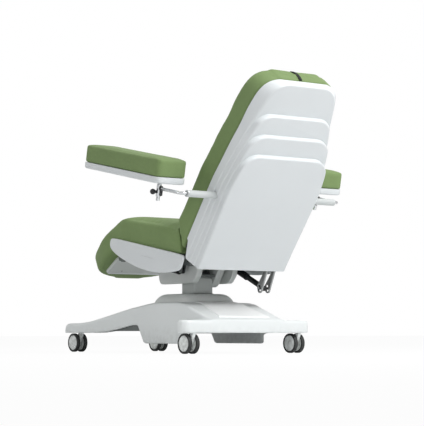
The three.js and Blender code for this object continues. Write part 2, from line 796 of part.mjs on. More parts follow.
function collarPlan(clearance) {
  return soften(rectangle(-COLLAR_HALF_WIDTH - clearance, COLLAR_HALF_WIDTH + clearance,
    -COLLAR_FRONT - clearance, COLLAR_REAR + clearance), COLLAR_CORNER, FILLET_STEPS + 2);
}

function baseCover() {
  const forms = (wall) => join(baseBody(wall), rearFlange(wall), frontArm(-1, wall), frontArm(1, wall));
  const hollow = box(-BODY_HALF_WIDTH + COVER_WALL, BODY_HALF_WIDTH - COVER_WALL,
    -ARM_REACH, BODY_REAR + OVERRUN, -OVERRUN, COVER_CLEARANCE);
  const opening = plateZ(collarPlan(GAP), BODY_HEIGHT / 2, BODY_HEIGHT + OVERRUN);
  return cut(forms(0), forms(COVER_WALL), hollow, opening);
}

function columnCollar() {
  const bottom = COLLAR_TOP - COLLAR_DEPTH;
  const outside = domedPlate(collarPlan(0), bottom, COLLAR_TOP, COLLAR_ROUND);
  const ceiling = COLLAR_TOP - COLLAR_WALL;
  const inside = domedPlate(collarPlan(-COLLAR_WALL), bottom - OVERRUN, ceiling, COLLAR_ROUND);
  const hole = columnSection(SLIDE_CLEARANCE * 2);
  return cut(outside, inside, plateZ(hole, bottom, COLLAR_TOP + OVERRUN));
}

// Lift column

function columnSection(grow) {
  const [halfX, halfY] = [COLUMN_WIDTH / 2 + grow, COLUMN_DEPTH / 2 + grow];
  return soften(rectangle(-halfX, halfX, -halfY, halfY), COLUMN_CORNER);
}

// Each stage sits inside the last with a sliding clearance
function columnStage(stage) {
  const pitch = COLUMN_WALL + SLIDE_CLEARANCE;
  const outside = columnSection(-stage * pitch);
  const inside = columnSection(-stage * pitch - COLUMN_WALL);
  const floor = COLUMN_BOTTOM + (stage ? COLUMN_FLOOR + GAP + stage * COLUMN_STEP : 0);
  return plateZ(outside, floor, COLUMN_TOP + stage * COLUMN_STEP, [inside]);
}

function columnOuter() {
  const half = COLUMN_FLANGE_WIDTH / 2;
  const flangeBottom = FRAME_TOP + GAP;
  const inside = columnSection(-COLUMN_WALL / 2);
  const flange = plateZ(soften(rectangle(-half, half, -half, half), COLUMN_CORNER),
    flangeBottom, flangeBottom + COLUMN_FLANGE_THICKNESS, [inside]);
  const floor = plateZ(columnSection(-COLUMN_WALL / 2), COLUMN_BOTTOM, COLUMN_BOTTOM + COLUMN_FLOOR);
  return join(columnStage(0), flange, floor);
}

function liftDrive() {
  const z0 = COLUMN_BOTTOM + COLUMN_FLOOR + GAP;
  const motorTop = z0 + LIFT_MOTOR_HEIGHT;
  return join(
    cylinderZ(LIFT_MOTOR_RADIUS, 0, 0, z0, motorTop, ROUND_SIDES),
    cylinderZ(LIFT_SPINDLE_RADIUS, 0, 0, motorTop - OVERRUN, COLUMN_TOP + COLUMN_STEP));
}

const COLUMN_INNER_TOP = COLUMN_TOP + 2 * COLUMN_STEP;
const HEAD_BOTTOM = COLUMN_INNER_TOP + GAP;
const HEAD_TOP = HEAD_BOTTOM + HEAD_PLATE_THICKNESS;

function columnHead() {
  const plan = rectangle(-HEAD_HALF_WIDTH, HEAD_HALF_WIDTH, -HEAD_HALF_DEPTH, HEAD_HALF_DEPTH);
  const plate = plateZ(soften(plan, COLUMN_CORNER), HEAD_BOTTOM, HEAD_TOP);
  const ears = [-EAR_X, EAR_X].map((x) => plateX(
    [[-HEAD_HALF_DEPTH * 0.6, HEAD_TOP - OVERRUN], [HEAD_HALF_DEPTH * 0.6, HEAD_TOP - OVERRUN],
      ...arc(0, TILT_AXIS_HEIGHT, EAR_RADIUS, degrees(20), degrees(160), 6)],
    x - EAR_THICKNESS / 2, x + EAR_THICKNESS / 2));
  const bore = cylinderX(boreFor(TILT_AXLE_RADIUS), -HEAD_HALF_WIDTH, HEAD_HALF_WIDTH, 0, TILT_AXIS_HEIGHT);
  return cut(join(plate, ...ears), bore);
}

const KEEL_INNER_X = EAR_X + EAR_THICKNESS / 2 + KNUCKLE_CLEARANCE;
const KEEL_OUTER_X = KEEL_INNER_X + KEEL_THICKNESS;

// Gear motor on the right of the column head, in the chair's frame
function tiltDrive() {
  const [y, low] = [DRIVE_HALF_DEPTH, TILT_AXIS_HEIGHT - DRIVE_HEIGHT];
  const high = TILT_AXIS_HEIGHT + DRIVE_RISE;
  const outline = soften([
    [-y, low + DRIVE_RISE], [-y * 0.8, low], [y * 0.3, low], [y * 0.5, low + DRIVE_RISE],
    [y, high - DRIVE_RISE], [y * 0.9, high], [-y * 0.5, high], [-y, high - 2 * DRIVE_RISE],
  ], DRIVE_RISE / 2);
  const outer = -HEAD_HALF_WIDTH - GAP - DRIVE_WIDTH;
  const body = plateX(outline, outer, -HEAD_HALF_WIDTH - GAP);
  return cut(body, cylinderX(boreFor(TILT_AXLE_RADIUS), outer - OVERRUN, 0, 0, TILT_AXIS_HEIGHT));
}

function tiltAxle() {
  return cylinderX(TILT_AXLE_RADIUS, -HEAD_HALF_WIDTH - DRIVE_WIDTH, KEEL_OUTER_X, 0, 0);
}

// Seat

const CUSHION_BOTTOM = KNEE_RISE + KNUCKLE_RADIUS + KNUCKLE_CLEARANCE;
const SEAT_BOARD_BOTTOM = CUSHION_BOTTOM - GAP - SEAT_BOARD_THICKNESS;
const RAIL_TOP = SEAT_BOARD_BOTTOM - GAP;
const RAIL_BOTTOM = RAIL_TOP - RAIL_HEIGHT;
const SEAT_CROSS_TOP = RAIL_TOP - GAP;
const SEAT_CROSS_BOTTOM = SEAT_CROSS_TOP - SEAT_CROSS_HEIGHT;

function actuatorLug(x, y, z, top) {
  const gap = ACTUATOR_EYE_WIDTH / 2 + GAP;
  const thickness = KEEL_THICKNESS / 2;
  const pin = cylinderX(LEVER_PIN_RADIUS, x - gap - thickness, x + gap + thickness, y, z);
  const cheeks = [-1, 1].map((side) => {
    const [xLow, xHigh] = [side * gap, side * (gap + thickness)].sort((p, q) => p - q);
    return plateX([[y + KEEL_LUG_RADIUS, top], [y - KEEL_LUG_RADIUS, top],
      ...arc(y, z, KEEL_LUG_RADIUS * 0.8, Math.PI, 2 * Math.PI, 6)], x + xLow, x + xHigh);
  });
  return [...cheeks, pin];
}

function seatFrame() {
  const rail = (side) => {
    const [x0, x1] = [side * RAIL_X - RAIL_WIDTH / 2, side * RAIL_X + RAIL_WIDTH / 2];
    const [front, rear] = [-KNEE_FORWARD + KNUCKLE_RADIUS / 2, RECLINE_AXIS_Y + RAIL_TAIL];
    const body = box(x0, x1, front, rear, RAIL_BOTTOM, RAIL_TOP);
    return join(body, cylinderX(KNUCKLE_RADIUS, x0, x1, -KNEE_FORWARD, KNEE_RISE));
  };
  const cross = (y) => box(-RAIL_X, RAIL_X, y - SEAT_CROSS_WIDTH / 2, y + SEAT_CROSS_WIDTH / 2,
    SEAT_CROSS_BOTTOM, SEAT_CROSS_TOP);
  const keelOutline = [
    [SEAT_CROSS_FRONT_Y, SEAT_CROSS_BOTTOM], [-KEEL_LUG_RADIUS * 2, SEAT_CROSS_BOTTOM],
    ...arc(0, 0, KEEL_LUG_RADIUS, Math.PI, 2 * Math.PI, 8),
    [KEEL_LUG_RADIUS * 2, SEAT_CROSS_BOTTOM], [SEAT_CROSS_REAR_Y, SEAT_CROSS_BOTTOM],
    [SEAT_CROSS_REAR_Y, SEAT_CROSS_TOP], [SEAT_CROSS_FRONT_Y, SEAT_CROSS_TOP],
  ];
  const keels = [
    plateX(keelOutline, -KEEL_OUTER_X, -KEEL_INNER_X), plateX(keelOutline, KEEL_INNER_X, KEEL_OUTER_X),
  ];
  const legBeam = box(KEEL_INNER_X, RAIL_X, LEG_ACTUATOR_Y - SEAT_CROSS_WIDTH / 2,
    LEG_ACTUATOR_Y + SEAT_CROSS_WIDTH / 2, SEAT_CROSS_BOTTOM, SEAT_CROSS_TOP);
  const backLugTop = SEAT_CROSS_TOP - GAP;
  const backBeam = box(-RAIL_X, -KEEL_INNER_X, RECLINE_ACTUATOR_Y - KEEL_LUG_RADIUS,
    RECLINE_ACTUATOR_Y + KEEL_LUG_RADIUS, SEAT_CROSS_TOP - KEEL_THICKNESS, SEAT_CROSS_TOP);
  const body = join(
    rail(-1), rail(1), cross(SEAT_CROSS_FRONT_Y), cross(SEAT_CROSS_REAR_Y), ...keels, legBeam, backBeam,
    ...actuatorLug(LEG_ACTUATOR_X, LEG_ACTUATOR_Y, LEG_ACTUATOR_Z, SEAT_CROSS_TOP - KEEL_THICKNESS),
    ...actuatorLug(LEVER_X, RECLINE_ACTUATOR_Y, RECLINE_ACTUATOR_Z, backLugTop));
  const reach = RAIL_X + RAIL_WIDTH;
  const pinHole = boreFor(HINGE_PIN_RADIUS);
  return cut(body,
    cylinderX(pinHole, -reach, reach, -KNEE_FORWARD, KNEE_RISE),
    cylinderX(pinHole, -reach, -KEEL_OUTER_X - OVERRUN, RECLINE_AXIS_Y, RECLINE_AXIS_Z),
    cylinderX(pinHole, KEEL_OUTER_X + OVERRUN, reach, RECLINE_AXIS_Y, RECLINE_AXIS_Z),
    cylinderX(boreFor(TILT_AXLE_RADIUS), -KEEL_OUTER_X - OVERRUN, KEEL_OUTER_X + OVERRUN, 0, 0));
}

function seatBoard() {
  const half = SEAT_HALF_WIDTH - SEAT_ROUND;
  const front = -KNEE_FORWARD + 2 * KNUCKLE_RADIUS;
  return plateZ(soften(rectangle(-half, half, front, SEAT_REAR_LOW_Y - OVERRUN), SEAT_ROUND),
    SEAT_BOARD_BOTTOM, CUSHION_BOTTOM - GAP);
}

function seatCushion() {
  const topAngle = Math.PI / 2 + Math.asin((SEAT_REAR_TOP_Z - KNEE_RISE - KNEE_ROLL_RADIUS)
    / (SEAT_REAR_TOP_Y + KNEE_FORWARD));
  const noseAngle = Math.PI - Math.asin((CUSHION_BOTTOM - KNEE_RISE) / KNEE_ROLL_RADIUS);
  const nose = arc(-KNEE_FORWARD, KNEE_RISE, KNEE_ROLL_RADIUS, topAngle, noseAngle, 9);
  const topRow = (share) => [
    SEAT_REAR_TOP_Y + (nose[0][0] - SEAT_REAR_TOP_Y) * share,
    SEAT_REAR_TOP_Z + (nose[0][1] - SEAT_REAR_TOP_Z) * share,
  ];
  const outline = [
    [SEAT_REAR_LOW_Y, CUSHION_BOTTOM], [SEAT_REAR_LOW_Y, SEAT_REAR_LOW_Z],
    [
      SEAT_REAR_LOW_Y + (SEAT_REAR_TOP_Y - SEAT_REAR_LOW_Y) * 0.45,
      SEAT_REAR_LOW_Z + (SEAT_REAR_TOP_Z - SEAT_REAR_LOW_Z) / 2,
    ],
    topRow(0), topRow(0.05), topRow(0.3), topRow(0.6), topRow(0.85), ...nose,
  ];
  return pillow({
    outline,
    halfWidthAt: () => SEAT_HALF_WIDTH,
    round: SEAT_ROUND,
    crown: SEAT_CROWN,
    crownShareAt: ([y, z]) => (z > SEAT_REAR_LOW_Z * 1.5
      && y < SEAT_REAR_TOP_Y * 0.9 && y > -KNEE_FORWARD * 0.8 ? 1 : 0),
    draw: SIDE_DRAW,
    hold: ([y, z]) => (z > CUSHION_BOTTOM + SEAT_ROUND && y > -KNEE_FORWARD ? 1 : 0.25),
  });
}

// Side cover seen from the side as [length share from the front, height share below the top edge]
const sideCoverShares = [
  [0.005, 0.1], [0.03, 0], [0.3, 0], [0.65, 0], [0.985, 0], [1, 0.08], [0.985, 0.42], [0.965, 0.62],
  [0.91, 0.73], [0.84, 0.82], [0.77, 0.9], [0.65, 0.99], [0.52, 1], [0.39, 0.96], [0.26, 0.85],
  [0.14, 0.72], [0.045, 0.55], [0.003, 0.38],
];

function sideCover(side) {
  const front = SIDE_COVER_REAR - SIDE_COVER_LENGTH;
  const outline = sideCoverShares.map(([a, b]) =>
    [front + SIDE_COVER_LENGTH * a, SIDE_COVER_TOP - SIDE_COVER_DEPTH * b]);
  const inner = SEAT_HALF_WIDTH + SIDE_COVER_GAP;
  const bossInner = RAIL_X + RAIL_WIDTH / 2 + GAP;
  const bossZ = (RAIL_TOP + RAIL_BOTTOM) / 2;
  const bosses = [-BOSS_PITCH, 0, BOSS_PITCH].map((y) =>
    cylinderX(BOSS_RADIUS, bossInner, inner + SIDE_COVER_GAP, y, bossZ));
  const left = join(domedPanel(outline, inner, inner + SIDE_COVER_THICKNESS, SIDE_COVER_ROUND), ...bosses);
  return side > 0 ? left : mirrorX(left);
}

function underCover() {
  const top = SEAT_CROSS_BOTTOM - GAP;
  const outline = soften([
    [-CHEEK_FRONT, top], [-CHEEK_FRONT, -CHEEK_DROP * 0.7], [-CHEEK_FRONT * 0.89, -CHEEK_DROP],
    [CHEEK_REAR * 0.79, -CHEEK_DROP * 0.5], [CHEEK_REAR, -CHEEK_DROP * 0.05], [CHEEK_REAR, top],
  ], CHEEK_THICKNESS / 2);
  const cheek = (x0, x1) => domedPanel(outline, x0, x1, CHEEK_ROUND);
  const hollow = (x0, x1) => plateX(inset(outline, COVER_WALL / 2).map(([y, z]) =>
    [y, z > top - COVER_WALL ? top + OVERRUN : z]), x0, x1);
  const right = CHEEK_RIGHT_X + CHEEK_THICKNESS;
  const left = CHEEK_LEFT_X + CHEEK_THICKNESS;
  const wall = COVER_WALL / 2;
  const bridge = box(-right + wall, left - wall, -CHEEK_FRONT + CHEEK_THICKNESS / 2,
    -CHEEK_FRONT + CHEEK_THICKNESS, top - CHEEK_THICKNESS, top);
  return cut(join(cheek(CHEEK_LEFT_X, left), cheek(-CHEEK_RIGHT_X, -right), bridge),
    hollow(CHEEK_LEFT_X + wall, left - wall), hollow(-right + wall, -CHEEK_RIGHT_X - wall));
}

// Actuators: the frame's origin is on the body's pivot, with the rod along +Y

function actuatorBody(x, length) {
  const shell = length * ACTUATOR_SHELL_SHARE;
  const halfEye = ACTUATOR_EYE_WIDTH / 2;
  const eye = cylinderX(ACTUATOR_EYE_RADIUS, x - halfEye, x + halfEye, 0, 0);
  const neck = box(x - halfEye, x + halfEye, 0, ACTUATOR_EYE_RADIUS * 2, -halfEye, halfEye);
  const body = cylinderY(ACTUATOR_RADIUS, x, ACTUATOR_EYE_RADIUS * 1.6, shell, 0, ROUND_SIDES);
  const tube = cylinderY(ACTUATOR_TUBE_RADIUS, x, shell - OVERRUN, length, 0, ROUND_SIDES);
  const boreRadius = boreFor(ACTUATOR_ROD_RADIUS);
  const bore = cylinderY(boreRadius, x, ACTUATOR_EYE_RADIUS * 3, length + OVERRUN, 0, ROUND_SIDES);
  return cut(join(eye, neck, body, tube), bore,
    cylinderX(boreFor(LEVER_PIN_RADIUS), x - ACTUATOR_EYE_WIDTH, x + ACTUATOR_EYE_WIDTH, 0, 0));
}

// The rod ends in a cross pin that runs in a lever's slots
function actuatorRod(x, span, stroke, pinReach) {
  const halfEye = ACTUATOR_EYE_WIDTH / 2;
  const start = ACTUATOR_EYE_RADIUS * 3 + OVERRUN + stroke;
  const end = span - ACTUATOR_EYE_RADIUS * 2.6;
  const rod = cylinderY(ACTUATOR_ROD_RADIUS, x, start, end, 0, ROUND_SIDES);
  const neck = box(x - halfEye, x + halfEye, end - OVERRUN, span, -halfEye, halfEye);
  const eye = cylinderX(ACTUATOR_EYE_RADIUS, x - halfEye, x + halfEye, span, 0);
  const pin = cylinderX(LEVER_PIN_RADIUS, x - pinReach, x + pinReach, span, 0);
  return join(rod, neck, eye, pin);
}

// A slot for a cross pin, along the line from the hinge at the origin to [y, z]: the two ends of
// its middle line
function slotEnds(y, z, before, after) {
  const reach = Math.hypot(y, z);
  return [-before, after].map((along) => [y * (1 + along / reach), z * (1 + along / reach)]);
}

// A lever's plate end round a slot, from one side of the slot's near end round to the other
function slotEnd([near, far], radius, from, turn, to) {
  return [...arc(...near, radius, from, turn, 2), ...arc(...far, radius, turn, to, 7)];
}

function slotTool([near, far], x0, x1) {
  const radius = boreFor(LEVER_PIN_RADIUS, OPEN_PIVOT_CLEARANCE);
  const middle = [near, far].map(([y, z]) => cylinderX(radius, x0, x1, y, z));
  const along = new THREE.Vector2(far[0] - near[0], far[1] - near[1]);
  const side = new THREE.Vector2(-along.y, along.x).setLength(LEVER_PIN_RADIUS + OPEN_PIVOT_CLEARANCE);
  const corners = [[near, 1], [near, -1], [far, -1], [far, 1]]
    .map(([[y, z], sign]) => [y + side.x * sign, z + side.y * sign]);
  return join(...middle, plateX(corners, x0, x1));
}

// A group that lies from one pivot of the seat's plane to another
function actuatorGroup(name, x, from, to, bodyLength, stroke, pinReach) {
  const along = to.clone().sub(from);
  const result = new THREE.Group();
  result.position.set(0, from.x, from.y);
  result.rotation.x = along.angle();
  result.add(mesh(`${name}_actuator_body`, actuatorBody(x, bodyLength), finishes.frame()));
  const rod = actuatorRod(x, along.length(), stroke, pinReach);
  result.add(mesh(`${name}_actuator_rod`, rod, finishes.black()));
  return result;
}

// Hinge pins that stand out of a frame's knuckles into the seat rails
function journals() {
  const outer = RAIL_X + RAIL_WIDTH / 2;
  return [
    cylinderX(HINGE_PIN_RADIUS, -outer, -BACK_TUBE_X, 0, 0),
    cylinderX(HINGE_PIN_RADIUS, BACK_TUBE_X, outer, 0, 0),
  ];
}

// Leg rest

// Half width of the pad as [share of its length from the knee, share of the seat's half width]
const legWidthShares = [
  [0, 1], [0.36, 1], [0.45, 0.97], [0.57, 0.895], [0.71, 0.83], [0.8, 0.785], [0.85, 0.735], [0.9, 0.66],
  [0.945, 0.54], [0.98, 0.39], [1, 0.29],
];

function legHalfWidthAt(place) {
  return SEAT_HALF_WIDTH * tableAt(legWidthShares, place / LEG_PAD_LENGTH);
}

function legPad() {
  const hollow = KNEE_ROLL_RADIUS + KNEE_GAP;
  const thickness = KNEE_ROLL_RADIUS - LEG_PAD_BOTTOM;
  const lipLevel = Math.sqrt(hollow ** 2 - KNEE_TIP ** 2);
  return loft(tongueLevels(thickness, LEG_ROUND, LEG_CROWN).map(([level, shrink, rootShrink]) => {
    const z = LEG_PAD_BOTTOM + thickness * level;
    const root = Math.sqrt(hollow ** 2 - Math.min(z, lipLevel) ** 2);
    const form = { root, tip: LEG_PAD_LENGTH, halfWidthAt: legHalfWidthAt };
    return tongueRing(form, shrink, rootShrink).map(([x, place]) => new THREE.Vector3(x, -place, z));
  }));
}

const LEG_PLATE_TOP = LEG_PAD_BOTTOM - GAP;
const LEG_PLATE_BOTTOM = LEG_PLATE_TOP - LEG_PLATE_DEPTH;

function legPlateOutline(shy) {
  const [rear, front] = [-LEG_PLATE_REAR, -LEG_PLATE_REAR - LEG_PLATE_LENGTH + shy];
  const [wide, narrow] = [LEG_PLATE_HALF_WIDTH - shy, LEG_PLATE_HALF_WIDTH * 0.9 - shy];
  const tail = rear + (shy ? OVERRUN : 0);
  return soften([[-wide, tail], [-narrow, front], [narrow, front], [wide, tail]], LEG_ROUND);
}

function legPlate() {
  const tray = plateZ(legPlateOutline(0), LEG_PLATE_BOTTOM, LEG_PLATE_TOP);
  const [floor, above] = [LEG_PLATE_BOTTOM + LEG_PLATE_WALL, LEG_PLATE_TOP + OVERRUN];
  const hollow = plateZ(legPlateOutline(LEG_PLATE_WALL), floor, above);
  const slot = box(-LEG_RUNNER_X - LEG_RUNNER_WIDTH, LEG_RUNNER_X + LEG_RUNNER_WIDTH,
    -LEG_PLATE_REAR - LEG_ROUND, -LEG_PLATE_REAR + OVERRUN, floor, above);
  return cut(tray, hollow, slot);
}

function legFrame() {
  const runnerBottom = LEG_PLATE_BOTTOM + LEG_PLATE_WALL + GAP;
  const runnerTop = runnerBottom + LEG_RUNNER_HEIGHT;
  const arms = [-1, 1].map((side) => {
    const [x0, x1] = [side * BACK_TUBE_X - RAIL_WIDTH / 2, side * BACK_TUBE_X + RAIL_WIDTH / 2];
    return join(cylinderX(KNUCKLE_RADIUS, x0, x1, 0, 0),
      box(x0, x1, LEG_CROSS_Y, -KNUCKLE_RADIUS / 2, -LEG_ARM_HEIGHT / 2 + GAP * 2, KNUCKLE_RADIUS));
  });
  const reach = BACK_TUBE_X + RAIL_WIDTH / 2;
  const cross = box(-reach, reach, LEG_CROSS_Y - RAIL_WIDTH / 2, LEG_CROSS_Y + RAIL_WIDTH / 2, 0, runnerTop);
  const runnerFront = -LEG_PLATE_REAR - LEG_PLATE_LENGTH * 0.9;
  const runners = [-LEG_RUNNER_X, LEG_RUNNER_X].map((x) =>
    box(x - LEG_RUNNER_WIDTH / 2, x + LEG_RUNNER_WIDTH / 2,
      runnerFront, LEG_CROSS_Y, runnerBottom, runnerTop));
  const torque = cylinderX(KNUCKLE_RADIUS * 0.8, -BACK_TUBE_X, BACK_TUBE_X, LEG_TORQUE_Y, 0);
  const gap = ACTUATOR_EYE_WIDTH / 2 + SLIDE_CLEARANCE;
  const thickness = LEVER_PLATE * 0.75;
  const ends = slotEnds(LEG_LEVER_Y, LEG_LEVER_Z, ...LEG_SLOT);
  const round = LEVER_PIN_RADIUS + OPEN_PIVOT_CLEARANCE + SLOT_WALL;
  const levers = [-1, 1].map((side) => {
    const [x0, x1] = [side * gap, side * (gap + thickness)].sort((p, q) => p - q);
    const outline = [
      [LEG_TORQUE_Y - round, 0],
      ...slotEnd([ends[1], ends[1]], round, degrees(180), degrees(200), degrees(320)),
      ...arc(...ends[0], round, degrees(330), degrees(370), 3), [LEG_TORQUE_Y + round, 0],
    ];
    return plateX(outline, LEG_ACTUATOR_X + x0, LEG_ACTUATOR_X + x1);
  });
  const slot = slotTool(ends, LEG_ACTUATOR_X - gap - 2 * thickness, LEG_ACTUATOR_X + gap + 2 * thickness);
  return join(...arms, cross, ...runners, torque, cut(levers[0], slot), cut(levers[1], slot), ...journals());
}

// Backrest

// Half width as [share of the back's length, share of its half width]
const backWidthShares = [
  [0, 1], [0.342, 1], [0.472, 0.97], [0.6, 0.938], [0.722, 0.895], [0.79, 0.885],
  [0.847, 0.862], [0.898, 0.83], [0.95, 0.757], [0.982, 0.643], [0.997, 0.5], [1, 0.46],
];

// How fast the shell's sides draw in with depth, by share of the back's length
const shellDraftRows = [
  [0, 0.08], [0.2, 0.05], [0.35, 0.03], [0.47, 0.05], [0.56, 0.13], [0.69, 0.32], [0.805, 0.68],
  [0.9, 0.85],
];

function backHalfWidthAt(z) {
  return BACK_HALF_WIDTH * tableAt(backWidthShares, (z - BACK_DROP) / BACK_LENGTH);
}

function backCushion() {
  const rear = BACK_FACE_Y + BACK_PAD;
  return loft(tongueLevels(BACK_PAD, BACK_PAD_ROUND, BACK_CROWN).map(([level, shrink, rootShrink]) => {
    const root = BACK_DROP - BACK_FOOT * Math.max(0, 1 - level * BACK_FOOT_SHARE);
    const form = { root, tip: BACK_DROP + BACK_LENGTH, halfWidthAt: backHalfWidthAt };
    return tongueRing(form, shrink, rootShrink)
      .map(([x, z]) => new THREE.Vector3(x, rear - BACK_PAD * level, z));
  }));
}

const BOARD_FRONT = BACK_FACE_Y + BACK_PAD + GAP * 2;
const BOARD_REAR = BOARD_FRONT + BACK_BOARD_THICKNESS;

// The board lies just inside the shell's open front
function backBoard() {
  const foot = BACK_DROP - BACK_FOOT * 0.8;
  const top = SHELL_LEDGES.at(-1);
  const rings = [BOARD_FRONT, BOARD_REAR].map((y) =>
    shellRing(SHELL_LEDGES.length - 1, top, y - BACK_FACE_Y, SHELL_WALL + BACK_BOARD_SHY, foot));
  return loft(rings);
}

function shellHalfWidthAt(z, depth) {
  const draft = tableAt(shellDraftRows, (z - BACK_DROP) / BACK_LENGTH);
  return backHalfWidthAt(z) - SHELL_SHY - draft * (depth - BACK_PAD);
}

// One ring of a shell panel at a depth behind the front face
function shellRing(index, top, depth, wall, foot = BACK_DROP - SHELL_FOOT - (wall ? OVERRUN : 0)) {
  const step = SHELL_STEP_WIDTH * (SHELL_DEPTHS.length - 1 - index);
  const halfWidthAt = (z) => shellHalfWidthAt(z, depth) - wall - step;
  const high = BACK_DROP + top - wall;
  const bend = high - SHELL_CORNER;
  const sideSteps = 7;
  const side = Array.from({ length: sideSteps }, (_, i) => {
    const z = foot + (bend - foot) * i / sideSteps;
    return [halfWidthAt(z), z];
  });
  const corner = Array.from({ length: CORNER_STEPS + 1 }, (_, i) => {
    const angle = Math.PI / 2 * i / CORNER_STEPS;
    const z = bend + SHELL_CORNER * Math.sin(angle);
    const limit = halfWidthAt(bend) - SHELL_CORNER * (1 - Math.cos(angle));
    return [Math.min(limit, halfWidthAt(z)), z];
  });
  const half = [...side, ...corner];
  const outline = [...half, ...half.map(([x, z]) => [-x, z]).reverse()];
  return outline.map(([x, z]) => new THREE.Vector3(x, BACK_FACE_Y + depth, z));
}

function shellPanel(index, wall) {
  const depth = SHELL_DEPTHS[index] - wall;
  const outermost = index === SHELL_DEPTHS.length - 1;
  const openFront = BACK_PAD + GAP * 2 - (wall ? OVERRUN : 0);
  const frontDepth = outermost ? openFront : SHELL_DEPTHS[index + 1] - SHELL_BEVEL - wall;
  const top = SHELL_LEDGES[index];
  const rise = SHELL_BEVEL / 2;
  const shoulder = outermost ? depth - SHELL_BEVEL : SHELL_DEPTHS[index + 1] - wall;
  const lip = outermost ? 0 : rise;
  return loft([
    shellRing(index, top + lip, frontDepth, wall),
    shellRing(index, top + lip, shoulder, wall),
    shellRing(index, top + lip - rise, (shoulder + depth * 2) / 3, wall),
    shellRing(index, top + lip - rise * 2.5, depth, wall),
  ]);
}

// The tool that clears the arm tube's path
function armTubeBore(reach) {
  return cylinderX(boreFor(ARM_TUBE_RADIUS), -reach, reach, ARM_TUBE_Y, ARM_TUBE_Z, ROUND_SIDES);
}

function backShell() {
  const forms = (wall) => join(...SHELL_DEPTHS.map((_, index) => shellPanel(index, wall)));
  const front = BACK_FACE_Y + BACK_PAD + GAP * 2;
  const cutTop = BACK_DROP - SHELL_CUT_TOP;
  const foot = BACK_DROP - SHELL_FOOT;
  const corner = plateX([
    [front - SHELL_CUT, cutTop], [front, cutTop], [front + SHELL_CUT, foot],
    [front + SHELL_CUT, foot - SHELL_CUT], [front - SHELL_CUT, foot - SHELL_CUT],
  ], -BACK_HALF_WIDTH - OVERRUN, BACK_HALF_WIDTH + OVERRUN);
  return cut(forms(0), forms(SHELL_WALL), corner, armTubeBore(ARM_TUBE_END));
}

function backFrame() {
  const front = BOARD_REAR + GAP;
  const rear = front + BACK_TUBE;
  const tube = (x, z0, z1) => box(x - BACK_TUBE / 2, x + BACK_TUBE / 2, front, rear, z0, z1);
  const reach = BACK_TUBE_X + BACK_TUBE / 2;
  const cross = (z, half) => box(-half, half, front, rear, z - BACK_TUBE / 2, z + BACK_TUBE / 2);
  const saddles = [-1, 1].map((side) => {
    const middle = side * BACK_TUBE_X;
    return box(middle - BACK_TUBE / 2, middle + BACK_TUBE / 2,
      rear - OVERRUN, ARM_TUBE_Y + ARM_TUBE_RADIUS + OVERRUN,
      ARM_TUBE_Z - ARM_TUBE_RADIUS - OVERRUN, ARM_TUBE_Z + ARM_TUBE_RADIUS + OVERRUN);
  });
  const knuckles = [-1, 1].map((side) => cylinderX(KNUCKLE_RADIUS + GAP * 5,
    side * BACK_TUBE_X - BACK_TUBE / 2, side * BACK_TUBE_X + BACK_TUBE / 2, 0, 0));
  const [beamLow, beamHigh] = [BACK_BEAM_Z - BACK_BEAM / 2, BACK_BEAM_Z + BACK_BEAM / 2];
  const [beamFront, beamRear] = [BACK_BEAM_Y - BACK_BEAM / 2, BACK_BEAM_Y + BACK_BEAM / 2];
  const beam = box(-reach, reach, beamFront, beamRear, beamLow, beamHigh);
  const gussets = [-1, 1].map((side) => plateX([
    [front, beamHigh + BACK_BEAM], [front, 0], [0, -KNUCKLE_RADIUS],
    [BACK_BEAM_Y, beamLow], [BACK_BEAM_Y, beamHigh],
    [rear, beamHigh + BACK_BEAM],
  ], side * BACK_TUBE_X - BACK_TUBE / 2, side * BACK_TUBE_X + BACK_TUBE / 2));
  const body = join(
    tube(-BACK_TUBE_X, BACK_TUBE, BACK_TUBE_TOP), tube(BACK_TUBE_X, BACK_TUBE, BACK_TUBE_TOP),
    tube(-BACK_RUNNER_X, BACK_DROP, BACK_RUNNER_TOP), tube(BACK_RUNNER_X, BACK_DROP, BACK_RUNNER_TOP),
    cross(BACK_DROP, reach), cross(BACK_TUBE_TOP - BACK_TUBE / 2, reach),
    cross(BACK_RUNNER_TOP, BACK_RUNNER_X), ...saddles, ...knuckles, beam, ...gussets, ...journals());
  return cut(body, armTubeBore(reach + OVERRUN));
}

function reclineLever() {
  const ends = slotEnds(LEVER_PIN_Y, LEVER_PIN_Z, ...RECLINE_SLOT);
  const round = LEVER_PIN_RADIUS + OPEN_PIVOT_CLEARANCE + SLOT_WALL;
  const seat = BACK_BEAM_Y + BACK_BEAM / 2 + GAP;
  const rear = LEVER_PIN_Y - GAP * 8;
  const neck = BACK_BEAM_Z - BACK_BEAM / 2 - GAP;
  const outline = [
    ...slotEnd(ends, round, degrees(160), degrees(225), degrees(370)),
    [rear, neck], [rear, LEVER_TOP], [seat, LEVER_TOP], [seat, neck], [rear - round, neck],
  ];
  const plates = [-1, 1].map((side) => {
    const middle = LEVER_X + side * LEVER_SPACING / 2;
    return plateX(outline, middle - LEVER_PLATE / 2, middle + LEVER_PLATE / 2);
  });
  const tie = box(LEVER_X - LEVER_SPACING / 2, LEVER_X + LEVER_SPACING / 2, seat, rear,
    LEVER_TOP - LEVER_SPACING, LEVER_TOP - LEVER_SPACING / 2);
  return cut(join(...plates, tie), slotTool(ends, LEVER_X - LEVER_SPACING, LEVER_X + LEVER_SPACING));
}

function pillowStrap() {
  const top = BACK_DROP + BACK_LENGTH + GAP;
  const rear = BACK_FACE_Y + BACK_PAD * 0.9;
  return box(-STRAP_WIDTH / 2, STRAP_WIDTH / 2, rear - STRAP_LENGTH, rear, top, top + STRAP_THICKNESS);
}

// Armrests

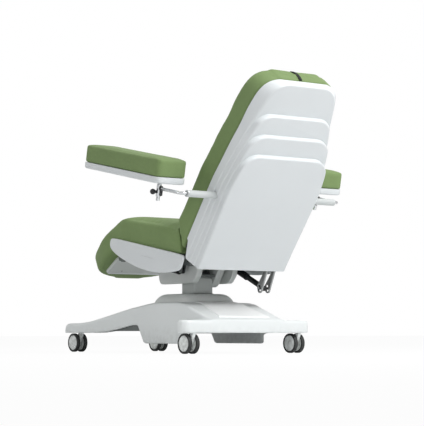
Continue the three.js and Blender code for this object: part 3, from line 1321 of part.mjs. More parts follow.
function armTube() {
  const lip = ARM_TUBE_RADIUS / 6;
  const profile = [
    [ARM_TUBE_BORE, -ARM_TUBE_END], [ARM_TUBE_RADIUS - lip, -ARM_TUBE_END],
    [ARM_TUBE_RADIUS, -ARM_TUBE_END + lip], [ARM_TUBE_RADIUS, ARM_TUBE_END - lip],
    [ARM_TUBE_RADIUS - lip, ARM_TUBE_END], [ARM_TUBE_BORE, ARM_TUBE_END], [ARM_TUBE_BORE, -ARM_TUBE_END],
  ];
  return turnedX(profile).translate(0, ARM_TUBE_Y, ARM_TUBE_Z);
}

// Round bar of two straights and the bend between them
function bentRod(start, corner, end, radius, sides) {
  const [from, turn, to] = [start, corner, end].map((p) => new THREE.Vector3(...p));
  const bendStart = from.clone().sub(turn).setLength(ARM_BEND_RADIUS).add(turn);
  const bendEnd = to.clone().sub(turn).setLength(ARM_BEND_RADIUS).add(turn);
  const bend = new THREE.QuadraticBezierCurve3(bendStart, turn, bendEnd);
  const up = from.clone().sub(turn).cross(to.clone().sub(turn)).normalize();
  const ringAt = (middle, tangent) => {
    const across = tangent.clone().cross(up);
    return arc(0, 0, radius, 0, 2 * Math.PI, sides).slice(0, sides).map(([a, b]) =>
      middle.clone().addScaledVector(across, a).addScaledVector(up, b));
  };
  const bendRings = Array.from({ length: BEND_STEPS + 1 }, (_, i) =>
    ringAt(bend.getPoint(i / BEND_STEPS), bend.getTangent(i / BEND_STEPS)));
  return loft([
    ringAt(from, turn.clone().sub(from).normalize()), ...bendRings,
    ringAt(to, to.clone().sub(turn).normalize()),
  ]);
}

function armRod() {
  const end = ARM_POST_Y + CLAMP_WIDTH / 2 + GAP;
  return bentRod([ARM_ROD_START, 0, 0], [ARM_X, 0, 0], [ARM_X, end, 0], ARM_ROD_RADIUS, SMALL_SIDES);
}

function armClamp() {
  const half = CLAMP_WIDTH / 2;
  const square = rectangle(ARM_X - half, ARM_X + half, ARM_POST_Y - half, ARM_POST_Y + half);
  const outline = soften(square, CLAMP_ROUND * 2);
  const block = domedPlate(outline, -CLAMP_BOTTOM, CLAMP_TOP, CLAMP_ROUND);
  const bore = boreFor(ARM_POST_RADIUS + BUSH_WALL, 2 * PIN_CLEARANCE);
  return cut(block,
    cylinderZ(bore, ARM_X, ARM_POST_Y, -CLAMP_BOTTOM - OVERRUN, CLAMP_TOP + OVERRUN),
    cylinderX(boreFor(KNOB_SCREW_RADIUS), ARM_X, ARM_X + CLAMP_WIDTH, ARM_POST_Y, -KNOB_DROP));
}

function clampBush() {
  const sides = SMALL_SIDES;
  const inner = boreFor(ARM_POST_RADIUS);
  const outer = ARM_POST_RADIUS + BUSH_WALL + PIN_CLEARANCE / 2;
  return cut(cylinderZ(outer, ARM_X, ARM_POST_Y, -CLAMP_BOTTOM, CLAMP_TOP, sides),
    cylinderZ(inner, ARM_X, ARM_POST_Y, -CLAMP_BOTTOM - OVERRUN, CLAMP_TOP + OVERRUN, sides));
}

function clampKnob() {
  const ball = new THREE.SphereGeometry(KNOB_RADIUS, SMALL_SIDES, SMALL_SIDES / 2)
    .rotateZ(Math.PI / 2)
    .translate(ARM_X + KNOB_REACH, ARM_POST_Y, -KNOB_DROP);
  const tip = ARM_X + ARM_POST_RADIUS + BUSH_WALL + 4 * PIN_CLEARANCE;
  return join(ball, cylinderX(KNOB_SCREW_RADIUS, tip, ARM_X + KNOB_REACH, ARM_POST_Y, -KNOB_DROP));
}

function armPost() {
  const flangeTop = ARM_PAD_BOTTOM - GAP;
  const flangeBottom = flangeTop - ARM_FLANGE_THICKNESS;
  return join(
    cylinderZ(ARM_POST_RADIUS, ARM_X, ARM_POST_Y, -ARM_POST_TAIL, flangeTop),
    cylinderZ(ARM_FLANGE_RADIUS, ARM_X, ARM_POST_Y, flangeBottom, flangeTop, ROUND_SIDES));
}

function armPlan(shy) {
  const rear = -ARM_PAD_REAR - shy;
  const front = rear - ARM_PAD_LENGTH + 2 * shy;
  const half = ARM_PAD_HALF_WIDTH - shy;
  return soften(rectangle(ARM_X - half, ARM_X + half, front, rear), ARM_FLANGE_RADIUS);
}

function armBase() {
  const rings = [
    [ARM_PAD_BOTTOM, ARM_BASE_SHY * 2.4], [ARM_PAD_BOTTOM + ARM_BASE_SHY, ARM_BASE_SHY],
    [ARM_PAD_BOTTOM + ARM_BASE_HEIGHT, ARM_BASE_SHY / 2],
  ];
  return loft(rings.map(([z, shy]) => armPlan(shy).map(([x, y]) => new THREE.Vector3(x, y, z))));
}

function armPad() {
  const low = ARM_PAD_BOTTOM + ARM_BASE_HEIGHT + GAP;
  const rear = -ARM_PAD_REAR;
  const [small, large] = [ARM_CUSHION_ROUND, ARM_CUSHION_ROUND * 2];
  const outline = soften(rectangle(rear - ARM_PAD_LENGTH, rear, low, low + ARM_CUSHION_HEIGHT),
    [small, small, large, large]);
  const extra = [0.33, 0.67];
  const bottomLeft = outline.slice(0, FILLET_STEPS + 1);
  const bottomRight = outline.slice(FILLET_STEPS + 1, 2 * FILLET_STEPS + 2);
  const topRight = outline.slice(2 * FILLET_STEPS + 2, 3 * FILLET_STEPS + 3);
  const topLeft = outline.slice(3 * FILLET_STEPS + 3);
  const along = (share, z) => [rear - ARM_PAD_LENGTH * share, z];
  const full = [
    ...bottomLeft, ...extra.toReversed().map((share) => along(share, low)), ...bottomRight, ...topRight,
    ...extra.map((share) => along(share, low + ARM_CUSHION_HEIGHT)), ...topLeft,
  ];
  return pillow({
    outline: full,
    halfWidthAt: () => ARM_PAD_HALF_WIDTH,
    round: ARM_CUSHION_ROUND,
    crown: ARM_CUSHION_CROWN,
    crownShareAt: ([, z]) => (z > low + ARM_CUSHION_HEIGHT * 0.9 ? 1 : 0),
    draw: SIDE_DRAW,
    hold: ([, z]) => (z > low + ARM_CUSHION_HEIGHT / 2 ? 1 : 0.2),
  }).translate(ARM_X, 0, 0);
}

function armrest(side) {
  const name = side > 0 ? "left" : "right";
  const turn = (geometry) => (side > 0 ? geometry : mirrorX(geometry));
  const result = new THREE.Group();
  result.position.set(0, ARM_TUBE_Y, ARM_TUBE_Z);
  result.rotation.x = BACK_LEAN - ARM_RISE;
  result.add(mesh(`arm_rod_${name}`, turn(armRod()), finishes.chrome()));
  result.add(mesh(`arm_clamp_${name}`, turn(armClamp()), finishes.black()));
  result.add(mesh(`clamp_bush_${name}`, turn(clampBush()), finishes.black()));
  result.add(mesh(`clamp_knob_${name}`, turn(clampKnob()), finishes.black()));
  result.add(mesh(`arm_post_${name}`, turn(armPost()), finishes.chrome()));
  result.add(mesh(`arm_base_${name}`, turn(armBase()), finishes.cover()));
  result.add(mesh(`arm_pad_${name}`, turn(armPad()), finishes.upholstery()));
  return result;
}

// Assembly

function base() {
  const result = new THREE.Group();
  result.add(mesh("base_frame", baseFrame(), finishes.frame()));
  result.add(mesh("base_cover", baseCover(), finishes.cover()));
  result.add(mesh("column_collar", columnCollar(), finishes.collar()));
  for (const [name, x, y] of casterPlaces) result.add(caster(name, x, y));
  return result;
}

function liftColumn() {
  const result = new THREE.Group();
  result.add(mesh("column_outer", columnOuter(), finishes.column()));
  result.add(mesh("column_middle", columnStage(1), finishes.column()));
  result.add(mesh("column_inner", columnStage(2), finishes.column()));
  result.add(mesh("lift_drive", liftDrive(), finishes.frame()));
  result.add(mesh("column_head", columnHead(), finishes.frame()));
  result.add(mesh("tilt_drive", tiltDrive(), finishes.housing()));
  return result;
}

function legRest() {
  const result = new THREE.Group();
  result.position.set(0, -KNEE_FORWARD, KNEE_RISE);
  result.rotation.x = LEG_SLOPE + SEAT_PITCH;
  result.add(mesh("leg_frame", legFrame(), finishes.frame()));
  result.add(mesh("leg_plate", legPlate(), finishes.collar()));
  result.add(mesh("leg_pad", legPad(), finishes.upholstery()));
  return result;
}

function backrest() {
  const result = new THREE.Group();
  result.position.set(0, RECLINE_AXIS_Y, RECLINE_AXIS_Z);
  result.rotation.x = SEAT_PITCH - BACK_LEAN;
  result.add(mesh("back_frame", backFrame(), finishes.frame()));
  result.add(mesh("recline_lever", reclineLever(), finishes.housing()));
  result.add(mesh("back_board", backBoard(), finishes.board()));
  result.add(mesh("back_cushion", backCushion(), finishes.upholstery()));
  result.add(mesh("back_shell", backShell(), finishes.cover()));
  result.add(mesh("pillow_strap", pillowStrap(), finishes.webbing()));
  result.add(mesh("arm_tube", armTube(), finishes.tube()));
  result.add(armrest(1), armrest(-1));
  return result;
}

// The place of a lever's pin in the seat's frame
function pinInSeat(frame, y, z) {
  frame.updateMatrix();
  const point = new THREE.Vector3(0, y, z).applyMatrix4(frame.matrix);
  return new THREE.Vector2(point.y, point.z);
}

function seat() {
  const result = new THREE.Group();
  result.position.set(0, 0, TILT_AXIS_HEIGHT);
  result.rotation.x = -SEAT_PITCH;
  result.add(mesh("tilt_axle", tiltAxle(), finishes.chrome()));
  result.add(mesh("seat_frame", seatFrame(), finishes.frame()));
  result.add(mesh("seat_board", seatBoard(), finishes.board()));
  result.add(mesh("seat_cushion", seatCushion(), finishes.upholstery()));
  result.add(mesh("side_cover_left", sideCover(1), finishes.cover()));
  result.add(mesh("side_cover_right", sideCover(-1), finishes.cover()));
  result.add(mesh("under_cover", underCover(), finishes.housing()));
  const [legs, back] = [legRest(), backrest()];
  result.add(legs, back);
  result.add(actuatorGroup("recline", LEVER_X, new THREE.Vector2(RECLINE_ACTUATOR_Y, RECLINE_ACTUATOR_Z),
    pinInSeat(back, LEVER_PIN_Y, LEVER_PIN_Z), RECLINE_ACTUATOR_BODY, RECLINE_STROKE,
    (LEVER_SPACING + LEVER_PLATE * 2) / 2));
  result.add(actuatorGroup("leg", LEG_ACTUATOR_X, new THREE.Vector2(LEG_ACTUATOR_Y, LEG_ACTUATOR_Z),
    pinInSeat(legs, LEG_LEVER_Y, LEG_LEVER_Z), LEG_ACTUATOR_BODY, LEG_STROKE,
    ACTUATOR_EYE_WIDTH / 2 + LEVER_PLATE * 1.3));
  return result;
}

const chair = new THREE.Group();
chair.add(base(), liftColumn(), seat());

// The origin is on the floor under the middle of the whole chair
const bounds = new THREE.Box3().setFromObject(chair, true);
chair.position.y = -(bounds.min.y + bounds.max.y) / 2;

export default chair;
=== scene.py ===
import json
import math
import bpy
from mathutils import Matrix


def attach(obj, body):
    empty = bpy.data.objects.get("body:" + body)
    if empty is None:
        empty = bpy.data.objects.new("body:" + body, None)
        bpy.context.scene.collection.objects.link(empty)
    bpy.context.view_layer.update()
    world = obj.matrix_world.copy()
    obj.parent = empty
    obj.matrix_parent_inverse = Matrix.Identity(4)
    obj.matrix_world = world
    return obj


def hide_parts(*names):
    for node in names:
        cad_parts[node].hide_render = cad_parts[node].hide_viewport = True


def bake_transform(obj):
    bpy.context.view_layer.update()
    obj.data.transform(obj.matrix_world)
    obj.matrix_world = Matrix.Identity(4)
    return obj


bl_info = {
    "name": "Dialysis Chair",
    "version": (1, 0, 0),
    "blender": (4, 5, 0),
    "location": "View3D > Sidebar > Dialysis Chair",
    "description": "Dresses a reclining dialysis chair in upholstery, moulded covers and chromed arms",
    "category": "Object",
}

import bmesh
import bpy
import numpy as np
from mathutils import Matrix, Vector

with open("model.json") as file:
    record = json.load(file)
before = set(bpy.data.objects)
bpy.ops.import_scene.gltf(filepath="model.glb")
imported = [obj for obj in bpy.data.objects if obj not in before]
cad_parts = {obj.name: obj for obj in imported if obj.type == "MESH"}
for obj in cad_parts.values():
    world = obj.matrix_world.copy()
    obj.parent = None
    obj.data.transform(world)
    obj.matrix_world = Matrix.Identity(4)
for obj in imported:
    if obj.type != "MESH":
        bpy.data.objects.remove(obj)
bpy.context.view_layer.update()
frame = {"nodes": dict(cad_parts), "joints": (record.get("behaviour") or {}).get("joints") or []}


# Places of the moving parts


def joint_place(name):
    """Where a hinge of the chair lies at rest."""
    return Vector(next(j["pos_m"] for j in frame["joints"] if j["name"] == name))


def placed(origin, turn):
    """A part's own frame: its origin, and its turn about the side-to-side axis in degrees."""
    return Matrix.Translation(origin) @ Matrix.Rotation(math.radians(turn), 4, "X")


TILT_AXIS = joint_place("tilt")
KNEE_AXIS = joint_place("leg_swing")
RECLINE_AXIS = joint_place("recline")
COLUMN_Y = TILT_AXIS.y
BASE = Matrix.Translation((0, COLUMN_Y, 0))
SEAT = placed(TILT_AXIS, -10.2)
LEG = placed(KNEE_AXIS, 25.5)
BACK = placed(RECLINE_AXIS, -36)
ARM_AXIS = BACK @ Vector((0, 0.033, 0.4055))
ARM = placed(ARM_AXIS, -11.2)

SIDES = {"left": 1, "right": -1}
CASTERS = {
    "front_left": (0.268, -0.7),
    "front_right": (-0.268, -0.7),
    "rear_left": (0.333, 0.418),
    "rear_right": (-0.333, 0.418),
}


def linear(red, green, blue):
    """A colour as a screen shows it, from 0 to 255, in the light values that Blender works with."""
    shares = [part / 255 for part in (red, green, blue)]
    return tuple(s / 12.92 if s <= 0.04045 else ((s + 0.055) / 1.055) ** 2.4 for s in shares)


# Sizes and colours to change


def colour_setting(name, description, shown):
    return bpy.props.FloatVectorProperty(
        name=name, description=description, subtype="COLOR", size=3, min=0, max=1, default=linear(*shown)
    )


def length_setting(name, description, default):
    return bpy.props.FloatProperty(name=name, description=description, default=default, min=0, unit="LENGTH")


class UpholsterySettings(bpy.types.PropertyGroup):
    """The padded parts."""

    vinyl: colour_setting("Vinyl", "Colour of the upholstery", (122, 144, 94))
    grain: length_setting("Grain", "Width of one pebble of the vinyl's grain", 0.0016)
    swell: length_setting("Swell", "How far the foam may push a seat or back cushion out", 0.026)
    small_swell: length_setting("Arm pad swell", "How far the foam may push an arm pad out", 0.010)
    pressure: bpy.props.FloatProperty(name="Pressure", description="Pressure of the foam", default=4, min=0)
    mesh_size: length_setting("Cloth mesh", "Size of the cells that a seat or back cushion is made of", 0.0075)
    small_mesh_size: length_setting("Arm pad mesh", "Size of the cells that an arm pad is made of", 0.006)


class CoverSettings(bpy.types.PropertyGroup):
    """The moulded covers."""

    shell: colour_setting("Shell", "Colour of the back shell and the side covers", (220, 224, 226))
    base: colour_setting("Base", "Colour of the base cover", (232, 236, 236))
    # painted light: the collar is lighter than the base cover, to make up for the seat's shade on it
    collar: colour_setting("Collar", "Colour of the cap round the column", (240, 244, 242))
    # painted light: the ramp panel is lighter than the base cover, to stand in for the light that falls on the ramp
    ramp: colour_setting("Ramp panel", "Colour of the panel on the ramp behind the column", (246, 248, 248))
    inner: colour_setting("Inner covers", "Colour of the covers and trays under the seat", (210, 214, 212))
    shell_wall: length_setting("Shell wall", "Thickness of the back shell", 0.0045)
    cover_wall: length_setting("Cover wall", "Thickness of the base cover", 0.006)
    blend_cell: length_setting("Cover blend", "Cell size when the base cover's forms flow together", 0.0055)


class MetalSettings(bpy.types.PropertyGroup):
    """Tubes, rods and the column."""

    column: colour_setting("Column", "Paint of the lift column", (186, 191, 189))
    frame: colour_setting("Frame", "Paint of the steel frame", (104, 109, 108))
    chrome: colour_setting("Chrome", "Colour of the chromed rods", (222, 224, 226))
    tube: colour_setting("Arm tube", "Paint of the tube that carries the arms", (200, 204, 204))
    black: colour_setting("Black parts", "Colour of the clamps, knobs and rods", (30, 32, 33))
    rod_radius: length_setting("Arm rod radius", "Radius of the chromed arm rods", 0.008)


class CasterSettings(bpy.types.PropertyGroup):
    """The four casters."""

    wheel: colour_setting("Wheel", "Colour of the wheel caps and forks", (240, 244, 243))
    tyre: colour_setting("Tyre", "Colour of the tyres", (38, 41, 42))
    radius: length_setting("Wheel radius", "Radius of a tyre", 0.05)
    width: length_setting("Wheel width", "Width of one of a caster's two wheels", 0.022)


class StageSettings(bpy.types.PropertyGroup):
    """Floor, lamps and camera."""

    floor: colour_setting("Floor", "Colour of the floor", (244, 245, 245))
    lens: bpy.props.FloatProperty(
        name="Lens", description="Focal length", default=139.4, min=20, unit="CAMERA"
    )
    room: bpy.props.FloatProperty(
        name="Room light", description="Strength of the even light of the room", default=0.4, min=0
    )
    lamps: bpy.props.FloatProperty(
        name="Lamps", description="Strength of the soft lamps", default=1, min=0
    )


class ChairSettings(bpy.types.PropertyGroup):
    """Everything that can be set on the chair."""

    upholstery: bpy.props.PointerProperty(type=UpholsterySettings)
    covers: bpy.props.PointerProperty(type=CoverSettings)
    metal: bpy.props.PointerProperty(type=MetalSettings)
    casters: bpy.props.PointerProperty(type=CasterSettings)
    stage: bpy.props.PointerProperty(type=StageSettings)


def settings():
    return bpy.context.scene.dialysis_chair


# Finishes


def set_stops(ramp, stops):
    """Gives a colour ramp its stops, each a place and a grey level or a colour."""
    while len(ramp.elements) > 1:
        ramp.elements.remove(ramp.elements[-1])
    for index, (place, level) in enumerate(stops):
        element = ramp.elements.new(place) if index else ramp.elements[0]
        element.position = place
        element.color = (level, level, level, 1) if isinstance(level, (int, float)) else (*level, 1)


class Shade:
    """A value of a finish's nodes. Arithmetic on it adds Math nodes, and node() adds any other."""

    def __init__(self, tree, socket=None):
        self.tree = tree
        self.socket = socket

    def node(self, kind, options=None, sockets=None, output=0):
        made = self.tree.nodes.new(kind)
        for name, value in (options or {}).items():
            if name == "stops":
                set_stops(made.color_ramp, value)
            else:
                setattr(made, name, value)
        for name, value in (sockets or {}).items():
            if isinstance(value, Shade):
                self.tree.links.new(value.socket, made.inputs[name])
            elif value is not None:
                made.inputs[name].default_value = value
        return Shade(self.tree, made.outputs[output]) if made.outputs else None

    def sum_of(self, operation, *values):
        return self.node("ShaderNodeMath", {"operation": operation}, dict(enumerate(values)))

    def __add__(self, other):
        return self.sum_of("ADD", self, other)

    def __radd__(self, other):
        return self.sum_of("ADD", other, self)

    def __sub__(self, other):
        return self.sum_of("SUBTRACT", self, other)

    def __rsub__(self, other):
        return self.sum_of("SUBTRACT", other, self)

    def __mul__(self, other):
        return self.sum_of("MULTIPLY", self, other)

    def __rmul__(self, other):
        return self.sum_of("MULTIPLY", other, self)

    def __pow__(self, other):
        return self.sum_of("POWER", self, other)

    def __gt__(self, other):
        return self.sum_of("GREATER_THAN", self, other)

    def noise(self, scale, detail=3, stretch=(1, 1, 1), roughness=0.5):
        """Cloudy levels between 0 and 1 over the piece, with cells of 1 / scale metres."""
        grid = self.node("ShaderNodeVectorMath", {"operation": "MULTIPLY"}, {0: self.spots(), 1: stretch})
        sockets = {"Vector": grid, "Scale": scale, "Detail": detail, "Roughness": roughness}
        return self.node("ShaderNodeTexNoise", {}, sockets)

    def cells(self, scale, feature="F1", wobble=0.0):
        """Distance to the middle or the edge of cells of 1 / scale metres."""
        spots = self.spots()
        if wobble:
            bent = self.node("ShaderNodeTexNoise", {}, {"Vector": spots, "Scale": scale * 0.7}, 1)
            shift = self.node("ShaderNodeVectorMath", {"operation": "SCALE"}, {0: bent, "Scale": wobble / scale})
            spots = self.node("ShaderNodeVectorMath", {}, {0: spots, 1: shift})
        return self.node("ShaderNodeTexVoronoi", {"feature": feature}, {"Vector": spots, "Scale": scale})

    def spots(self):
        """Each point's place on the piece, in metres."""
        return self.node("ShaderNodeTexCoord", {}, {}, "Object")

    def part(self, axis):
        """One coordinate of each point's place."""
        return self.node("ShaderNodeSeparateXYZ", {}, {0: self.spots()}, axis)

    def ramp(self, *stops):
        """This value read through a ramp."""
        return self.node("ShaderNodeValToRGB", {"stops": stops}, {0: self})

    def mix(self, factor, first, second):
        """Two colours blended by a factor."""
        sockets = {0: factor, 6: first, 7: second}
        return self.node("ShaderNodeMix", {"data_type": "RGBA", "clamp_factor": True}, sockets, 2)


def tone(colour, gain):
    """A colour made lighter or darker."""
    return tuple(min(1, part * gain) for part in tuple(colour)[:3]) + (1,)


def make_finish(name, sockets, bumps):
    """A material from the sockets of its shader and its bumps, each a height, strength and depth."""
    material = bpy.data.materials.new(name)
    material.use_nodes = True
    material.node_tree.nodes.clear()
    sheet = Shade(material.node_tree)
    inputs = sockets(sheet)
    normal = None
    for height, strength, depth in bumps(sheet):
        given = {"Height": height, "Strength": strength, "Distance": depth, "Normal": normal}
        normal = sheet.node("ShaderNodeBump", {}, given)
    shader = sheet.node("ShaderNodeBsdfPrincipled", {}, {**inputs, "Normal": normal})
    sheet.node("ShaderNodeOutputMaterial", {}, {"Surface": shader})
    return material


def vinyl(name):
    """Coated upholstery fabric: pebbled grain with painted shade in its hollows, soft creases, and a slight polish
    where it is used.
    """
    colour = settings().upholstery.vinyl
    pebble = 1 / settings().upholstery.grain

    def sockets(sheet):
        cloud = sheet.noise(3.2, 4)
        mottle = sheet.noise(38, 5, roughness=0.6)
        hollow = sheet.cells(pebble, wobble=0.6)
        body = sheet.mix(cloud.ramp((0.3, 0), (0.7, 1)), tone(colour, 0.93), tone(colour, 1.06))
        body = sheet.mix(mottle.ramp((0.35, 0), (0.75, 1)) * 0.35, body, tone(colour, 1.16))
        # painted shade: the hollows between the grain's pebbles are darkened in colour
        body = sheet.mix(hollow.ramp((0.35, 0), (0.8, 1)) * 0.3, body, tone(colour, 0.7))
        rubbed = sheet.noise(7, 5).ramp((0.42, 0), (0.72, 1))
        return {
            "Base Color": body,
            "Roughness": 0.6 + 0.1 * mottle - 0.08 * rubbed,
            "Specular IOR Level": 0.28,
        }

    def bumps(sheet):
        creases = sheet.noise(11, 3, (1, 1.7, 1.7)) * 0.7 + sheet.noise(34, 2) * 0.3
        return [
            (creases, 0.25, 0.004),
            (1 - sheet.cells(pebble, wobble=0.6), 0.32, 0.0003),
            (sheet.noise(pebble * 3, 2), 0.12, 0.0001),
        ]

    return make_finish(name, sockets, bumps)


def moulded(name, colour, roughness=0.34, grain=0.05, dust=0.0):
    """Painted or moulded plastic: a faint orange peel, fine scuffs, and dust that gathers low down."""

    def sockets(sheet):
        cloud = sheet.noise(2.4, 3)
        scuff = sheet.noise(26, 8, (1, 1, 0.35), 0.72).ramp((0.58, 0), (0.74, 1))
        body = sheet.mix(cloud, tone(colour, 0.975), tone(colour, 1.02))
        body = sheet.mix(scuff * 0.16, body, tone(colour, 0.86))
        if dust:
            low = sheet.part("Z").ramp((0.05, 1), (0.15, 0)) * sheet.noise(40, 6).ramp((0.35, 0), (0.7, 1))
            body = sheet.mix(low * dust, body, (0.3, 0.29, 0.27, 1))
        smear = sheet.noise(9, 5).ramp((0.35, 0), (0.75, 1))
        return {
            "Base Color": body,
            "Roughness": roughness + 0.1 * scuff + 0.07 * smear,
            "Specular IOR Level": 0.5,
        }

    def bumps(sheet):
        return [
            (sheet.noise(6, 2), 0.06, 0.003),
            (sheet.noise(520, 3), grain, 0.0004),
            (sheet.noise(26, 8, (1, 1, 0.35), 0.72).ramp((0.58, 1), (0.74, 0)), 0.04, 0.0002),
        ]

    return make_finish(name, sockets, bumps)


def painted(name, colour, roughness=0.45, metallic=0.3):
    """Powder-coated steel: fine stipple, with a few rubbed spots that show the metal."""

    def sockets(sheet):
        stipple = sheet.noise(700, 4)
        cloud = sheet.noise(5, 4)
        rubbed = sheet.noise(17, 8, roughness=0.7).ramp((0.66, 0), (0.73, 1))
        body = sheet.mix(cloud, tone(colour, 0.88), tone(colour, 1.08))
        body = sheet.mix(stipple.ramp((0.4, 0), (0.7, 1)) * 0.2, body, tone(colour, 1.25))
        body = sheet.mix(rubbed * 0.5, body, (0.42, 0.42, 0.41, 1))
        return {
            "Base Color": body,
            "Roughness": roughness + 0.12 * stipple - 0.1 * rubbed,
            "Metallic": metallic + 0.4 * rubbed,
        }

    def bumps(sheet):
        return [
            (sheet.noise(700, 4), 0.18, 0.0003),
            (sheet.noise(17, 8, roughness=0.7).ramp((0.66, 1), (0.73, 0)), 0.2, 0.0003),
        ]

    return make_finish(name, sockets, bumps)


def drawn_metal(name, colour, roughness=0.34, metallic=0.75, along=(240, 240, 3)):
    """Drawn or brushed metal, with fine lines along its length and greasy smears."""

    def sockets(sheet):
        lines = sheet.noise(1, 4, along)
        smear = sheet.noise(13, 5)
        body = sheet.mix(lines, tone(colour, 0.9), tone(colour, 1.06))
        body = sheet.mix(smear.ramp((0.45, 0), (0.8, 1)) * 0.25, body, tone(colour, 0.8))
        return {
            "Base Color": body,
            "Roughness": roughness + 0.12 * lines + 0.1 * smear,
            "Metallic": metallic,
        }

    def bumps(sheet):
        return [(sheet.noise(1, 4, along), 0.08, 0.0004), (sheet.noise(420, 2), 0.03, 0.0002)]

    return make_finish(name, sockets, bumps)


def chromed(name):
    """Polished chrome with fingerprints and hairline scratches."""
    colour = settings().metal.chrome

    def sockets(sheet):
        prints = sheet.noise(55, 6).ramp((0.45, 0), (0.7, 1))
        scratch = sheet.noise(1, 6, (60, 900, 900)).ramp((0.62, 0), (0.7, 1))
        return {
            "Base Color": sheet.mix(prints * 0.3 + scratch * 0.3, tone(colour, 1), tone(colour, 0.82)),
            "Roughness": 0.09 + 0.09 * prints + 0.12 * scratch,
            "Metallic": 1.0,
        }

    def bumps(sheet):
        return [(sheet.noise(1, 6, (60, 900, 900)), 0.03, 0.0002), (sheet.noise(90, 2), 0.02, 0.0005)]

    return make_finish(name, sockets, bumps)


def rubber(name):
    """Tyre rubber, dusty where it rolls."""
    colour = settings().casters.tyre

    def sockets(sheet):
        dust = sheet.noise(90, 7, roughness=0.7).ramp((0.4, 0), (0.75, 1))
        streak = sheet.noise(14, 4)
        body = sheet.mix(dust * 0.35, tone(colour, 1), (0.13, 0.125, 0.118, 1))
        return {"Base Color": sheet.mix(streak * 0.3, body, tone(colour, 0.6)), "Roughness": 0.62 + 0.22 * dust}

    def bumps(sheet):
        return [(sheet.noise(260, 5), 0.22, 0.0005), (sheet.cells(900), 0.1, 0.0002)]

    return make_finish(name, sockets, bumps)


def black_plastic(name):
    """Black glass-filled nylon with a spark-eroded grain."""
    colour = settings().metal.black

    def sockets(sheet):
        speck = sheet.noise(800, 5)
        grey = sheet.noise(30, 5).ramp((0.5, 0), (0.8, 1))
        return {
            "Base Color": sheet.mix(grey * 0.35 + speck * 0.15, tone(colour, 1), tone(colour, 3.2)),
            "Roughness": 0.36 + 0.2 * speck,
        }

    def bumps(sheet):
        return [(sheet.noise(900, 4), 0.22, 0.0003)]

    return make_finish(name, sockets, bumps)


def webbing(name):
    """Woven tape: two sets of ribs that cross at right angles."""
    colour = settings().metal.black

    def weave(sheet):
        across = sheet.node("ShaderNodeTexWave", {"bands_direction": "X"}, {0: sheet.spots(), "Scale": 260.0})
        along = sheet.node("ShaderNodeTexWave", {"bands_direction": "Y"}, {0: sheet.spots(), "Scale": 190.0})
        return across * 0.5 + along * 0.5

    def sockets(sheet):
        threads = weave(sheet)
        fuzz = sheet.noise(400, 5)
        body = sheet.mix(threads, tone(colour, 0.3), tone(colour, 0.9))
        return {"Base Color": sheet.mix(fuzz * 0.2, body, tone(colour, 1.6)), "Roughness": 0.78 + 0.14 * fuzz}

    def bumps(sheet):
        return [(weave(sheet), 0.6, 0.0006), (sheet.noise(900, 3), 0.15, 0.0002)]

    return make_finish(name, sockets, bumps)


def finish(name):
    """The chair's finishes by name, each made once."""
    known = bpy.data.materials.get(f"finish_{name}")
    if known:
        return known
    chosen = settings()
    makers = {
        "vinyl": vinyl,
        "shell": lambda n: moulded(n, chosen.covers.shell, 0.3),
        "base_cover": lambda n: moulded(n, chosen.covers.base, 0.3, 0.06, 0.25),
        # painted light: a lighter copy of the base cover's plastic, for the lit ramp panel
        "ramp": lambda n: moulded(n, chosen.covers.ramp, 0.28, 0.06, 0.15),
        # painted light: a lighter cover plastic, for the shaded collar
        "collar": lambda n: moulded(n, chosen.covers.collar, 0.42, 0.14),
        "inner_cover": lambda n: moulded(n, chosen.covers.inner, 0.44, 0.14),
        "wheel": lambda n: moulded(n, chosen.casters.wheel, 0.38, 0.1, 0.5),
        "tyre": rubber,
        "column": lambda n: drawn_metal(n, chosen.metal.column, 0.42, 0.25),
        "frame": lambda n: painted(n, chosen.metal.frame),
        "lever": lambda n: drawn_metal(n, (0.42, 0.43, 0.43), 0.36, 0.7, (200, 200, 4)),
        "chrome": chromed,
        "black": black_plastic,
        "black_metal": lambda n: painted(n, chosen.metal.black, 0.4, 0.5),
        "tube": lambda n: painted(n, chosen.metal.tube, 0.28, 0.05),
        "webbing": webbing,
    }
    return makers[name](f"finish_{name}")


# Forms: a form is a pair of points and faces


def curve_at(rows, place):
    """A value read smoothly from a table of places and values."""
    if place <= rows[0][0]:
        return rows[0][1]
    if place >= rows[-1][0]:
        return rows[-1][1]
    index = next(i for i in range(1, len(rows)) if place <= rows[i][0])
    slopes = []
    for i in (index - 1, index):
        before, after = rows[max(i - 1, 0)], rows[min(i + 1, len(rows) - 1)]
        here = rows[i]
        left = (here[1] - before[1]) / (here[0] - before[0]) if i else 0
        right = (after[1] - here[1]) / (after[0] - here[0]) if i < len(rows) - 1 else left
        left = left if i else right
        slopes.append(0 if left * right <= 0 else 2 * left * right / (left + right))
    (x0, y0), (x1, y1) = rows[index - 1], rows[index]
    width = x1 - x0
    t = (place - x0) / width
    return (
        (2 * t**3 - 3 * t**2 + 1) * y0
        + (t**3 - 2 * t**2 + t) * width * slopes[0]
        + (3 * t**2 - 2 * t**3) * y1
        + (t**3 - t**2) * width * slopes[1]
    )


def quarter(steps):
    """Shares out and in along a rounded edge."""
    turns = [math.pi / 2 * i / steps for i in range(steps + 1)]
    return [(math.sin(a), 1 - math.cos(a)) for a in turns]


def arc(a, b, radius, start, end, steps):
    """Points of an arc, with its angles in degrees."""
    turns = [math.radians(start + (end - start) * i / steps) for i in range(steps + 1)]
    return [(a + radius * math.cos(t), b + radius * math.sin(t)) for t in turns]


